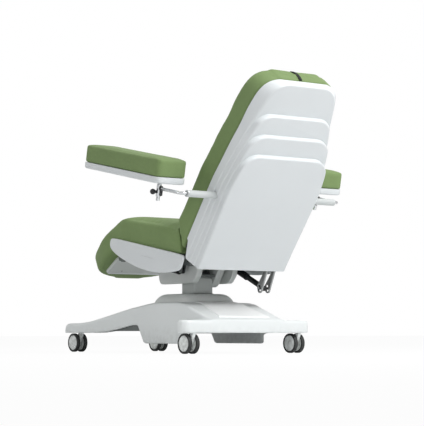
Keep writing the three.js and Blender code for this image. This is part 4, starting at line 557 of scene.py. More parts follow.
def soften(outline, radii, steps=6):
    """An outline with its corners rounded, by one radius or one for each corner."""
    result = []
    for i, corner in enumerate(outline):
        here = Vector(corner)
        before = Vector(outline[i - 1]) - here
        after = Vector(outline[(i + 1) % len(outline)]) - here
        radius = radii[i] if isinstance(radii, (list, tuple)) else radii
        reach = min(radius, before.length / 2.02, after.length / 2.02)
        start, end = here + before.normalized() * reach, here + after.normalized() * reach
        for k in range(steps + 1):
            t = k / steps
            result.append(tuple(start * (1 - t) ** 2 + here * 2 * t * (1 - t) + end * t**2))
    return [p for i, p in enumerate(result) if (Vector(p) - Vector(result[i - 1])).length > 1e-6]


def rectangle(a0, a1, b0, b1):
    return [(a0, b0), (a1, b0), (a1, b1), (a0, b1)]


def area(outline):
    return sum(a[0] * b[1] - b[0] * a[1] for a, b in zip(outline, outline[1:] + outline[:1])) / 2


def inset(outline, distance, share=lambda point: 1):
    """An outline moved inwards, each point by its own share of the distance."""
    side = 1 if area(outline) > 0 else -1
    moved = []
    for i, point in enumerate(outline):
        before, after = Vector(outline[i - 1]), Vector(outline[(i + 1) % len(outline)])
        along = (after - before).normalized()
        reach = distance * side * share(point)
        moved.append((point[0] - along.y * reach, point[1] + along.x * reach))
    return moved


def loft(rings, caps=(True, True)):
    """A skin through rings of equal count."""
    count = len(rings[0])
    faces = []
    for i in range(len(rings) - 1):
        for j in range(count):
            k = (j + 1) % count
            faces.append((i * count + j, i * count + k, (i + 1) * count + k, (i + 1) * count + j))
    if caps[0]:
        faces.append(tuple(range(count))[::-1])
    if caps[1]:
        faces.append(tuple(range((len(rings) - 1) * count, len(rings) * count)))
    return [Vector(p) for ring in rings for p in ring], faces


def on_x(x, outline):
    return [Vector((x, a, b)) for a, b in outline]


def on_y(y, outline):
    return [Vector((a, y, b)) for a, b in outline]


def on_z(z, outline):
    return [Vector((a, b, z)) for a, b in outline]


def slab(outline, low, high, plane=on_z, top=0.0, bottom=0.0, steps=4):
    """An outline given thickness, with rounded edges at its top and bottom."""
    rings = []
    if bottom:
        rings += [plane(low + bottom * (1 - out), inset(outline, bottom * inward)) for out, inward in
                  reversed(quarter(steps))]
    else:
        rings.append(plane(low, outline))
    if top:
        rings += [plane(high - top * (1 - out), inset(outline, top * inward)) for out, inward in quarter(steps)]
    else:
        rings.append(plane(high, outline))
    return loft(rings)


def turned(profile, axis="Z", sides=48):
    """A turned form from pairs of radius and place along an axis."""
    rings = []
    for radius, place in profile:
        radius = max(radius, 0.00002)
        ring = []
        for i in range(sides):
            a = math.tau * i / sides
            flat = (radius * math.cos(a), radius * math.sin(a))
            ring.append(
                {"X": (place, *flat), "Y": (flat[1], place, flat[0]), "Z": (*flat, place)}[axis]
            )
        rings.append(ring)
    return loft(rings)


def rod(radius, start, end, edge=0.001, sides=32):
    """A straight rod from one point to another with eased ends."""
    start, end = Vector(start), Vector(end)
    length = (end - start).length
    edge = min(edge, radius * 0.9, length / 3)
    ends = [(radius - edge * inward, edge * (1 - out)) for out, inward in reversed(quarter(3))]
    profile = ends + [(r, length - z) for r, z in reversed(ends)]
    return moved(turned(profile, "Z", sides), pointing(start, end))


def pointing(start, end):
    """A frame at the start whose Z points to the end."""
    turn = (Vector(end) - Vector(start)).to_track_quat("Z", "Y").to_matrix().to_4x4()
    return Matrix.Translation(start) @ turn


def swept(path, radius, sides=32):
    """A round rod along a path, with eased ends."""
    path = [Vector(p) for p in path]
    rings = []
    across = None
    for i, p in enumerate(path):
        along = (path[min(i + 1, len(path) - 1)] - path[max(i - 1, 0)]).normalized()
        across = (across or along.orthogonal()).normalized()
        across = (across - along * across.dot(along)).normalized()
        over = along.cross(across)
        shrunk = [0.85, 1] if i == 0 else [1, 0.85] if i == len(path) - 1 else [1]
        for k, share in enumerate(shrunk):
            shift = {(0, 0): 0, (0, 1): 0.001}.get((i, k), 0)
            if i == len(path) - 1:
                shift = -0.001 if k == 0 else 0
            turns = [math.tau * n / sides for n in range(sides)]
            rings.append([
                p + along * shift + (across * math.cos(a) + over * math.sin(a)) * radius * share for a in turns
            ])
    return loft(rings)


def brick(x0, x1, y0, y1, z0, z1, edge=0.001, steps=2):
    """A block with eased edges."""
    block = bmesh.new()
    bmesh.ops.create_cube(block, size=1)
    for v in block.verts:
        v.co = Vector((
            x0 + (x1 - x0) * (v.co.x + 0.5), y0 + (y1 - y0) * (v.co.y + 0.5), z0 + (z1 - z0) * (v.co.z + 0.5)
        ))
    if edge:
        bmesh.ops.bevel(block, geom=block.edges[:], offset=edge, segments=steps, profile=0.5, affect="EDGES")
    block.verts.index_update()
    form = [v.co.copy() for v in block.verts], [tuple(v.index for v in f.verts) for f in block.faces]
    block.free()
    return form


def moved(form, place):
    """A form in another frame."""
    return [place @ Vector(p) for p in form[0]], form[1]


def mirrored(form):
    """A form seen in a mirror across the chair's middle plane."""
    return [Vector((-p[0], p[1], p[2])) for p in form[0]], [tuple(reversed(face)) for face in form[1]]


def gathered(*forms):
    """Several forms as one."""
    points, faces = [], []
    for form_points, form_faces in forms:
        shift = len(points)
        points += form_points
        faces += [tuple(i + shift for i in face) for face in form_faces]
    return points, faces


# Pieces


def link_form(name, form):
    """A form as an object of the scene."""
    mesh = bpy.data.meshes.new(name)
    mesh.from_pydata([tuple(p) for p in form[0]], [], form[1])
    shape = bmesh.new()
    shape.from_mesh(mesh)
    bmesh.ops.recalc_face_normals(shape, faces=shape.faces[:])
    shape.to_mesh(mesh)
    shape.free()
    piece = bpy.data.objects.new(name, mesh)
    bpy.context.scene.collection.objects.link(piece)
    return piece


def shade(piece, angle=32):
    """Smooth shading with sharp edges kept."""
    piece.data.shade_smooth()
    piece.data.set_sharp_from_angle(angle=math.radians(angle))


def apply_modifiers(piece):
    """Leaves a piece with the mesh that its modifiers make."""
    graph = bpy.context.evaluated_depsgraph_get()
    made = bpy.data.meshes.new_from_object(piece.evaluated_get(graph), depsgraph=graph)
    piece.modifiers.clear()
    piece.data = made


def combine(first, others, operation):
    """Joins or cuts a piece with others and removes them."""
    for other in others:
        step = first.modifiers.new("combine", "BOOLEAN")
        step.operation = operation
        step.solver = "MANIFOLD"
        step.object = other
    before = len(first.data.polygons)
    apply_modifiers(first)
    if len(first.data.polygons) < before / 4:
        raise RuntimeError(f"{first.name} lost its shape when it was joined or cut")
    for other in others:
        bpy.data.objects.remove(other)


def add_piece(name, form, material, body, nodes=(), angle=32):
    """Makes a piece from a form, or takes one that is made, and hangs it on its body."""
    piece = link_form(name, form) if isinstance(form, tuple) else form
    piece.name = name
    piece.data.materials.clear()
    piece.data.materials.append(finish(material))
    shade(piece, angle)
    if body:
        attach(piece, body)
    if nodes:
        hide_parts(*nodes)
    return piece


def paint_node(name, material):
    """Gives a CAD node that stays its finish."""
    node = frame["nodes"][name]
    node.data.materials.clear()
    node.data.materials.append(finish(material))
    node.data.shade_smooth()
    node.data.set_sharp_from_angle(angle=math.radians(28))


# Base cover

BODY_TOP = [
    (-1, 0.905), (-0.69, 0.946), (-0.35, 0.985), (-0.08, 1), (0.32, 0.992), (0.455, 0.961),
    (0.59, 0.88), (0.75, 0.785), (0.9, 0.695), (1, 0.645),
]
ARM_ROWS = [
    (0, 0.5, 0, 0.72, 0.95), (0.016, 0.57, 0, 0.88, 0.985), (0.05, 0.594, 0, 1, 1),
    (0.2, 0.598, 0, 1, 0.985), (0.35, 0.625, 0, 0.9, 0.91), (0.5, 0.69, 0.02, 0.68, 0.74),
    (0.65, 0.77, 0.1, 0.5, 0.5), (0.82, 0.86, 0.26, 0.4, 0.24), (0.91, 0.905, 0.36, 0.38, 0.08),
    (1, 0.92, 0.38, 0.38, 0),
]
FLANGE_PLAN = [(0.57, 0.5), (0.61, 0.62), (0.7, 0.735), (0.86, 0.79), (0.94, 0.815), (1, 0.87), (1, 0.94), (0.94, 1)]


def column_of(rows, index):
    return [(row[0], row[index]) for row in rows]


def cover_body(wall):
    """The raised middle of the base cover, with its lowered side skirts."""
    front, rear, height = 0.251 - wall, 0.44 - wall, 0.26
    places = [i / 24 for i in range(-24, 25)]
    top = [(s * (front if s < 0 else rear), curve_at(BODY_TOP, s) * height - wall) for s in places]
    low, step = (-0.005, -0.005) if wall else (0.047, 0.102)
    lift = 0 if wall else 0.0384
    side = [
        (rear * 0.71, low), (rear * 0.81, step), (rear, step), *reversed(top),
        (-front, step + lift), (-front * 0.86, step + lift * 1.07), (-front * 0.74, step),
        (-front * 0.62, low + (0 if wall else 0.006)), (-front * 0.55, low),
    ]
    edge = 0.016 - wall
    rings = []
    for sign in (-1, 1):
        steps = [(0.235 - wall - edge * (1 - out), inward) for out, inward in quarter(4)]
        steps = [(0.0, 0.0)] * (sign > 0) + steps
        part = [
            on_x(sign * x, inset(side, edge * inward, lambda p: 1 if p[1] > 0.143 else 0)) for x, inward in steps
        ]
        rings += part[::-1] if sign < 0 else part
    return loft(rings)


def cover_flange(wall):
    """The low shelf at the rear that spreads over the rear casters."""
    half = soften([(0.0, 0.22), *[(a * 0.402, b * 0.44) for a, b in FLANGE_PLAN], (0.0, 0.44)], 0.02, 3)
    half = [p for p in half if p[0] > 0.001]
    plan = half + [(-x, y) for x, y in reversed(half)]
    low = -0.005 if wall else 0.102
    plan = inset(plan, wall) if wall else plan
    return slab(plan, low, 0.166 - wall, on_z, top=0.014 - wall)


def cover_arm(side, wall):
    """One front arm: a slim ramp at its root that widens into a foot over the front caster."""
    reach = 0.8 - 0.251 + 0.06
    rings = []
    for i in range(45):
        share = (i / 44) ** 1.35
        top, under, width, out = (curve_at(column_of(ARM_ROWS, k), share) for k in (1, 2, 3, 4))
        y = -0.8 + reach * share + (wall if share < 0.1 else 0)
        outer = 0.235 + 0.078 * out - wall
        inner = outer + wall - (0.042 + 0.054 * (width - 0.38) / 0.62) + wall
        z0 = -0.005 if wall else 0.102 + under * 0.158 * 0.7
        z1 = top * 0.26 - wall
        edge = 0.016 - wall
        section = [(inner, z0), (outer, z0), *arc(outer - edge, z1 - edge, edge, 0, 90, 5),
                   *arc(inner + edge, z1 - edge, edge, 90, 180, 5)]
        rings.append([Vector((side * x, y, z)) for x, z in section])
    return loft(rings)


def flow_together(piece, cell, rounds):
    """Melts the forms of a moulding into one skin with soft fillets where they meet."""
    melt = piece.modifiers.new("melt", "REMESH")
    melt.mode = "VOXEL"
    melt.voxel_size = cell
    soften_step = piece.modifiers.new("soften", "SMOOTH")
    soften_step.factor = 0.5
    soften_step.iterations = rounds
    apply_modifiers(piece)


def collar_plan(grow):
    half, front, rear = 0.158 + grow, -0.198 - grow, 0.142 + grow
    return soften(rectangle(-half, half, front, rear), 0.05, 8)


class DIALYSIS_CHAIR_OT_base_cover(bpy.types.Operator):
    """Make the moulded base cover and the cap round the column"""

    bl_idname = "dialysis_chair.base_cover"
    bl_label = "Base cover"

    def execute(self, context):
        chosen = settings().covers
        wall = chosen.cover_wall
        outer = [cover_body(0), cover_flange(0), cover_arm(1, 0), cover_arm(-1, 0)]
        inner = [cover_body(wall), cover_flange(wall), cover_arm(1, wall), cover_arm(-1, wall)]
        cover = link_form("base_cover_moulding", moved(gathered(*outer), BASE))
        flow_together(cover, chosen.blend_cell, 5)
        hollow = moved(brick(-0.229, 0.229, -0.8, 0.446, -0.005, 0.1, 0), BASE)
        tools = [link_form("tool", moved(form, BASE)) for form in inner]
        tools.append(link_form("tool", hollow))
        tools.append(link_form("tool", moved(slab(collar_plan(0.0006), 0.13, 0.28), BASE)))
        combine(cover, tools, "DIFFERENCE")
        add_piece("base_cover_moulding", cover, "base_cover", "base", ["base_cover"], 40)
        self.make_rear_panel()
        self.make_collar()
        return {"FINISHED"}

    def make_rear_panel(self):
        """A broad trapezoid panel that stands a little proud of the ramp, with rounded edges, coloured lighter than the
        base cover as painted light.
        """
        low, high = 0.4, 0.135
        rings = []
        for rise, shy in ((-0.012, -0.006), (-0.002, -0.003), (0.003, 0.0), (0.0062, 0.004), (0.0068, 0.012)):
            rows = []
            for i in range(13):
                share = i / 12
                y = low - shy - (low - high - 2 * shy) * share
                half = 0.158 - 0.046 * share - shy
                rows.append((half, y, curve_at(BODY_TOP, y / 0.44) * 0.26 + rise))
            rings.append([Vector(p) for p in rows + [(-x, y, z) for x, y, z in reversed(rows)]])
        form = loft(rings, (True, False))
        top = rings[-1]
        count, start = len(top), (len(rings) - 1) * len(top)
        faces = [(start + i, start + i + 1, start + count - 2 - i, start + count - 1 - i) for i in range(12)]
        panel = moved((form[0], form[1] + faces), BASE)
        # the panel's lighter finish is painted light on the ramp
        add_piece("base_rear_panel", panel, "ramp", "base", ())

    def shrunk(self, shy):
        """The collar's outline drawn in by a length, with its corners as round as before."""
        half, front, rear = 0.158 - shy, -0.198 + shy, 0.142 - shy
        return soften(rectangle(-half, half, front, rear), 0.05, 8)

    def make_collar(self):
        bottom, top = 0.236, 0.304
        rows = [(bottom, 0.0), (0.246, 0.0), (0.256, 0.002), (0.266, 0.0055), (0.276, 0.0105), (0.285, 0.017),
                (0.292, 0.0235), (0.2975, 0.031), (0.3015, 0.04), (0.3035, 0.05), (top, 0.062)]
        outside = loft([on_z(z, self.shrunk(shy)) for z, shy in rows])
        collar = link_form("column_collar_cap", moved(outside, BASE))
        inside = loft([on_z(z - 0.004, self.shrunk(shy + 0.004)) for z, shy in rows])
        hole = slab(column_plan(0.0012), bottom, top + 0.005)
        combine(collar, [link_form("tool", moved(f, BASE)) for f in (inside, hole)], "DIFFERENCE")
        # the collar's lighter finish is painted light against the seat's shade
        add_piece("column_collar_cap", collar, "collar", "base", ["column_collar"])
        rim_out, rim_in = column_plan(0.0042), column_plan(0.0012)
        rings = [(top - 0.001, rim_out), (top + 0.0012, rim_out), (top + 0.002, inset(rim_out, 0.0008)),
                 (top + 0.002, inset(rim_in, -0.0006)), (top + 0.0012, rim_in), (top - 0.001, rim_in)]
        lip = loft([on_z(z, ring) for z, ring in rings] + [on_z(rings[0][0], rim_out)], (False, False))
        add_piece("column_collar_lip", moved(lip, BASE), "black", "base", ())


# Lift column


def column_plan(grow):
    half_x, half_y = 0.06 + grow, 0.057 + grow
    return soften(rectangle(-half_x, half_x, -half_y, half_y), 0.01, 6)


def column_stage(stage):
    """One tube of the telescoping column, open at its top, with an eased rim."""
    pitch = 0.0046
    outside, inside = column_plan(-stage * pitch), column_plan(-stage * pitch - 0.004)
    floor = 0.1 + (0.0053 + stage * 0.0035 if stage else 0)
    top = 0.385 + stage * 0.0035
    rings = [
        on_z(floor, outside), on_z(top - 0.0008, outside), on_z(top, inset(outside, 0.0008)),
        on_z(top, inset(inside, -0.0008)), on_z(top - 0.0008, inside), on_z(floor, inside), on_z(floor, outside),
    ]
    return loft(rings, (False, False))


class DIALYSIS_CHAIR_OT_lift_column(bpy.types.Operator):
    """Make the telescoping column, its head and the tilt drive's housing"""

    bl_idname = "dialysis_chair.lift_column"
    bl_label = "Lift column"

    def execute(self, context):
        flange = slab(soften(rectangle(-0.1, 0.1, -0.1, 0.1), 0.012), 0.1423, 0.1503, on_z, top=0.0015)
        hole = link_form("tool", moved(slab(column_plan(-0.002), 0.13, 0.16), BASE))
        foot = link_form("column_foot", moved(flange, BASE))
        combine(foot, [hole], "DIFFERENCE")
        add_piece("column_foot", foot, "frame", "base", ())
        for x in (-0.083, 0.083):
            for y in (-0.083, 0.083):
                head = turned([(0.0, 0.157), (0.006, 0.157), (0.0075, 0.1555), (0.0075, 0.1503), (0, 0.1503)], "Z", 6)
                bolt = moved(head, BASE @ Matrix.Translation((x, y, 0)))
                add_piece(f"column_bolt_{'a' if x < 0 else 'b'}{'a' if y < 0 else 'b'}", bolt, "lever", "base")
        bodies = ["base", "column_middle", "column_inner"]
        for stage, (body, node) in enumerate(zip(bodies, ["column_outer", "column_middle", "column_inner"])):
            form = moved(column_stage(stage), BASE)
            add_piece(f"{node}_tube", form, "column", body, [node])
        self.make_head()
        self.make_drive()
        return {"FINISHED"}

    def make_head(self):
        bottom, top = 0.3923, 0.4043
        plate = slab(soften(rectangle(-0.062, 0.062, -0.075, 0.075), 0.01), bottom, top, on_z, top=0.002, bottom=0.002)
        ears = []
        for side in (-1, 1):
            outline = [(-0.05, top - 0.003), (0.05, top - 0.003), *arc(0, 0.43, 0.018, 10, 170, 14)]
            low, high = side * 0.045 - 0.005, side * 0.045 + 0.005
            ears.append(slab(outline, low, high, on_x, top=0.001, bottom=0.001))
        head = link_form("column_head_plate", moved(plate, BASE))
        combine(head, [link_form("tool", moved(ear, BASE)) for ear in ears], "UNION")
        bore = rod(0.01035, (-0.07, 0, 0.43), (0.07, 0, 0.43))
        combine(head, [link_form("tool", moved(bore, BASE))], "DIFFERENCE")
        add_piece("column_head_plate", head, "frame", "column_inner", ["column_head"])

    def make_drive(self):
        """The gear motor's housing, in two shells with a joint, and its screws."""
        low, high, reach = 0.34, 0.446, 0.1
        outline = soften([
            (-reach, low + 0.016), (-reach * 0.8, low), (reach * 0.3, low), (reach * 0.5, low + 0.016),
            (reach, high - 0.016), (reach * 0.9, high), (-reach * 0.5, high), (-reach, high - 0.032),
        ], 0.011, 5)
        outer, middle, inner = -0.1083, -0.0853, -0.0623
        halves = [
            slab(outline, outer, middle - 0.0006, on_x, bottom=0.006, top=0.0008),
            slab(inset(outline, 0.001), middle - 0.002, middle + 0.002, on_x),
            slab(outline, middle + 0.0006, inner, on_x, top=0.003, bottom=0.0008),
        ]
        bore = link_form("tool", moved(rod(0.0104, (-0.12, 0, 0.43), (-0.05, 0, 0.43)), BASE))
        joined = [link_form("tool", moved(h, BASE)) for h in halves[1:]]
        housing = link_form("tilt_drive_housing", moved(halves[0], BASE))
        combine(housing, joined, "UNION")
        combine(housing, [bore], "DIFFERENCE")
        add_piece("tilt_drive_housing", housing, "inner_cover", "column_inner", ["tilt_drive"])
        for n, (y, z) in enumerate([(-0.082, 0.36), (0.03, 0.352), (0.078, 0.43), (-0.05, 0.434)]):
            screw = turned([(0.0, -0.001), (0.0042, -0.001), (0.0048, 0), (0.0048, 0.003), (0, 0.003)], "X", 20)
            place = BASE @ Matrix.Translation((outer - 0.0003, y, z))
            add_piece(f"tilt_drive_screw_{n + 1}", moved(screw, place), "lever", "column_inner")


# Casters


class DIALYSIS_CHAIR_OT_casters(bpy.types.Operator):
    """Make the four twin-wheel casters"""

    bl_idname = "dialysis_chair.casters"
    bl_label = "Casters"

    def execute(self, context):
        chosen = settings().casters
        for corner, (x, y) in CASTERS.items():
            place = BASE @ Matrix.Translation((x, y, 0))
            axle = place @ Matrix.Translation((0, -0.035, chosen.radius))
            body = f"caster_{corner}"
            fork = link_form(f"caster_fork_{corner}_casting", moved(self.fork_web(), place))
            tools = [link_form("tool", moved(form, place)) for form in self.fork_parts()]
            combine(fork, tools, "UNION")
            bore = moved(rod(0.0053, (-0.03, 0, 0), (0.03, 0, 0)), axle)
            combine(fork, [link_form("tool", bore)], "DIFFERENCE")
            name = f"caster_fork_{corner}"
            add_piece(f"{name}_casting", fork, "wheel", body, [name])
            rolling = f"wheels_{corner}"
            core = moved(self.wheel_core(chosen), axle)
            name = f"caster_wheels_{corner}"
            add_piece(f"{name}_discs", core, "wheel", rolling, [name], 24)
            for side in (-1, 1):
                which = "outer" if side * x > 0 else "inner"
                ring = moved(self.tyre(side, chosen), axle)
                name = f"caster_tyre_{corner}_{which}"
                add_piece(f"{name}_tread", ring, "tyre", rolling, [name], 40)
        return {"FINISHED"}

    def fork_web(self):
        outline = soften([
            (-0.051, 0.034), (-0.019, 0.034), (0.012, 0.095), (0.012, 0.1092), (-0.012, 0.1092), (-0.012, 0.0917),
            (-0.051, 0.06),
        ], [0.014, 0.014, 0.008, 0.001, 0.001, 0.016, 0.018], 6)
        return slab(outline, -0.0095, 0.0095, on_x, top=0.0025, bottom=0.0025)

    def fork_parts(self):
        plate = turned([
            (0.0105, 0.1), (0.0125, 0.1035), (0.0146, 0.1067), (0.015, 0.1075), (0.015, 0.111), (0.0143, 0.1117),
            (0.008, 0.1117), (0.008, 0.138), (0.0065, 0.1402),
        ])
        return [plate]

    def wheel_core(self, chosen):
        inner, width, rim = 0.0125, chosen.width, 0.0397
        outer = inner + width
        half = [
            (0.005, inner), (rim - 0.001, inner), (rim, inner + 0.001), (rim, outer - 0.0044),
            (rim - 0.0006, outer - 0.0034), (rim * 0.965, outer - 0.0026), (rim * 0.93, outer - 0.0014),
            (rim * 0.9, outer - 0.001), (rim * 0.885, outer - 0.0022), (rim * 0.865, outer - 0.0022),
            (rim * 0.85, outer - 0.0009), (rim * 0.74, outer - 0.0002), (rim * 0.6, outer),
            (rim * 0.4, outer - 0.0001), (rim * 0.34, outer - 0.0003), (rim * 0.32, outer - 0.0012),
            (rim * 0.29, outer - 0.0012), (rim * 0.27, outer - 0.0001), (rim * 0.14, outer), (0.0004, outer),
        ]
        return turned([(r, -x) for r, x in reversed(half)] + half, "X", 56)

    def tyre(self, side, chosen):
        inner, outer = 0.0128, 0.0125 + chosen.width - 0.0018
        crown = chosen.radius
        shoulder = 0.0032
        profile = [(0.04, inner + 0.0005), (0.0402, inner)]
        profile += [(crown - shoulder + shoulder * math.sin(t), inner + shoulder - shoulder * math.cos(t)) for t in
                    (math.pi / 2 * k / 5 for k in range(6))]
        profile += [(crown - shoulder + shoulder * math.cos(t), outer - shoulder + shoulder * math.sin(t)) for t in
                    (math.pi / 2 * k / 5 for k in range(6))]
        profile += [(0.0425, outer + 0.0002), (0.0405, outer - 0.0006), (0.04, outer - 0.0012)]
        rings = [(r, side * x) for r, x in profile]
        form = turned(rings + [rings[0]], "X", 56)
        return form[0], [face for face in form[1] if len(face) == 4]


# Cushions


def spread(*stops):
    """Places between each pair of stops, close enough to draw a smooth line."""
    places = []
    for low, high, count in stops:
        places += [low + (high - low) * i / count for i in range(count)]
    return places + [stops[-1][1]]


def tongue_form(levels, root_at, tip, width_at, to_point):
    """A flat cushion with a rounded end, built up in levels from its back to its face."""
    shares = spread((0, 0.6, 14), (0.6, 0.9, 14), (0.9, 1, 12))
    rings = []
    for level, shrink in levels:
        start, end = root_at(level) + shrink * 0.6, tip - shrink
        half = []
        for share in shares:
            place = start + (end - start) * share
            half.append((max(width_at(place + shrink * share) - shrink, 0.002), place))
        outline = half + [(-x, place) for x, place in reversed(half)]
        rings.append([to_point(x, place, level) for x, place in outline])
    return loft(rings)


def rounded_levels(thickness, edge, steps=5):
    """Levels of a cushion with both edges rounded, each a share of its thickness and a shrink."""
    low = [(edge * (1 - out) / thickness, edge * inward) for out, inward in reversed(quarter(steps))]
    high = [(1 - edge * (1 - out) / thickness, edge * inward) for out, inward in quarter(steps)]
    return low + [(0.35, 0), (0.5, 0), (0.65, 0)] + high


def side_form(outline, half_width, edge, hold, steps=5):
    """A cushion drawn as its side view, as wide as the chair, with rounded long edges."""
    rings = []
    stations = [(half_width - edge * (1 - out), edge * inward) for out, inward in quarter(steps)]
    inner = [(half_width * share, 0) for share in (0, 0.3, 0.6, 0.85)]
    half = inner + [s for s in stations if s[0] > inner[-1][0]]
    for sign, rows in ((-1, half[:0:-1]), (1, half)):
        rings += [on_x(sign * x, inset(outline, inward, hold)) for x, inward in rows]
    return loft(rings)


def foam(name, forms, cell, pressure, most, frames, limit):
    """A cushion blown up as cloth over its form, then held inside its space."""
    start = link_form(name, gathered(*forms))
    cells = start.modifiers.new("cells", "REMESH")
    cells.mode = "VOXEL"
    cells.voxel_size = cell
    ease = start.modifiers.new("ease", "SMOOTH")
    ease.factor = 0.5
    ease.iterations = 2
    apply_modifiers(start)
    count = len(start.data.vertices)
    before = np.empty(count * 3)
    start.data.vertices.foreach_get("co", before)
    before = before.reshape(-1, 3)
    after = before.copy()
    cloth = start.modifiers.new("cloth", "CLOTH")
    cloth.settings.use_pressure = True
    cloth.settings.uniform_pressure_force = pressure
    cloth.settings.effector_weights.gravity = 0
    cloth.settings.quality = 5
    cloth.settings.tension_stiffness = 60
    cloth.settings.compression_stiffness = 60
    cloth.settings.shear_stiffness = 30
    cloth.settings.bending_stiffness = 12
    cloth.collision_settings.use_collision = False
    cloth.point_cache.frame_start, cloth.point_cache.frame_end = 1, frames
    scene = bpy.context.scene
    for number in range(1, frames + 1):
        scene.frame_set(number)
    graph = bpy.context.evaluated_depsgraph_get()
    blown = start.evaluated_get(graph).to_mesh()
    blown.vertices.foreach_get("co", after.reshape(-1))
    start.evaluated_get(graph).to_mesh_clear()
    start.modifiers.clear()
    scene.frame_set(1)
    move = after - before
    outwards = np.empty(count * 3)
    start.data.vertices.foreach_get("normal", outwards)
    outwards = outwards.reshape(-1, 3)
    rise = np.sum(move * outwards, axis=1, keepdims=True)
    move = outwards * np.where(rise > 0, rise, rise * 0.12) + (move - outwards * rise) * 0.35
    length = np.linalg.norm(move, axis=1, keepdims=True)
    move *= np.tanh(length / most) * most / np.maximum(length, 1e-9)
    final = np.array([limit(Vector(p)) for p in before + move])
    start.data.vertices.foreach_set("co", final.reshape(-1))
    start.data.update()
    finer = start.modifiers.new("finer", "SUBSURF")
    finer.levels = finer.render_levels = 1
    apply_modifiers(start)
    return start


def held_in(place, rules):
    """A limit that keeps a point inside its space, with rules on its place in a part's own frame."""
    back = place.inverted()

    def limit(point):
        local = back @ point
        rules(local)
        return place @ local

    return limit


LEG_WIDTHS = [
    (0, 1), (0.36, 1), (0.45, 0.99), (0.57, 0.945), (0.71, 0.885), (0.8, 0.83), (0.85, 0.775), (0.9, 0.69),
    (0.945, 0.56), (0.98, 0.41), (1, 0.3),
]
BACK_WIDTHS = [
    (0, 1), (0.342, 1), (0.472, 0.97), (0.6, 0.938), (0.722, 0.895), (0.79, 0.885), (0.847, 0.862),
    (0.898, 0.83), (0.95, 0.757), (0.982, 0.643), (0.997, 0.5), (1, 0.46),
]
CUSHION_BOTTOM = 0.1057


def back_half_width(z):
    return 0.305 * curve_at(BACK_WIDTHS, (z - 0.1455) / 0.888)


class DIALYSIS_CHAIR_OT_seat_upholstery(bpy.types.Operator):
    """Make the upholstery of the seat and the leg rest, in one piece whose form turns down at the knee"""

    bl_idname = "dialysis_chair.seat_upholstery"
    bl_label = "Seat upholstery"

    def execute(self, context):
        chosen = settings().upholstery
        shy = 0.002
        rear_low, rear_mid, rear_top = (0.249, 0.128), (0.2235, 0.186), (0.194, 0.239)
        roll, nose_y, nose_z = 0.148, -0.256, 0.073
        reach, climb = rear_top[0] - nose_y, rear_top[1] - nose_z
        top_turn = 90 + math.degrees(math.asin((climb - roll) / math.hypot(reach, climb)))
        nose = arc(nose_y, nose_z, roll, top_turn, 196, 26)
        rear_top = (rear_top[0], rear_top[1] - shy)
        slope = [(rear_top[0] + (nose[0][0] - rear_top[0]) * t, rear_top[1] + (nose[0][1] - rear_top[1]) * t) for t in
                 (i / 12 for i in range(12))]
        rise = [(rear_low[0] - shy, CUSHION_BOTTOM + 0.001), (rear_low[0] - shy, rear_low[1]), rear_mid]
        outline = soften(rise + [slope[0]], [0.004, 0.02, 0.05, 0.022], 5) + slope[2:] + nose
        seat = side_form(outline, 0.299 - shy, 0.016, lambda p: 1 if p[1] > 0.13 and p[0] > -0.25 else 0.7)
        thick = 0.13 - 0.034

        def root_at(level):
            return 0.03

        def width_at(place):
            return 0.299 * curve_at(LEG_WIDTHS, place / 0.4595) - shy

        def to_point(x, place, level):
            fuller = 0.019 * min(1, max(0, (0.46 - place) / 0.3))
            return Vector((x, -place, 0.034 + 0.002 + (thick + fuller - 0.002) * level))

        leg = tongue_form(rounded_levels(thick, 0.02), root_at, 0.466, width_at, to_point)
        forms = [moved(seat, SEAT), moved(leg, LEG)]
        piece = foam(
            "seat_and_leg_upholstery", forms, chosen.mesh_size, chosen.pressure, chosen.swell, 20,
            self.limit(shy),
        )
        add_piece("seat_and_leg_upholstery", piece, "vinyl", None, angle=80)
        self.finish_piece(piece)
        return {"FINISHED"}

    def limit(self, shy):
        to_seat, to_leg = SEAT.inverted(), LEG.inverted()

        def keep(point):
            leg = to_leg @ point
            seat = to_seat @ point
            on_leg = leg.y < -0.06 and seat.y < -0.2
            if on_leg:
                leg.z = max(leg.z, 0.0342)
                leg.z = min(leg.z, 0.152)
                leg.y = max(leg.y, -0.469)
                leg.x = max(-0.2985, min(0.2985, leg.x))
                return LEG @ leg
            if seat.y > -0.215:
                seat.z = max(seat.z, CUSHION_BOTTOM + 0.0003)
                rear = 0.249 - max(0, seat.z - 0.128) * 0.44
                seat.y = min(seat.y, rear + 0.001)
            seat.x = max(-0.2985, min(0.2985, seat.x))
            return SEAT @ seat

        return keep

    def finish_piece(self, piece):
        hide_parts("seat_cushion", "leg_pad")
        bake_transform(piece)


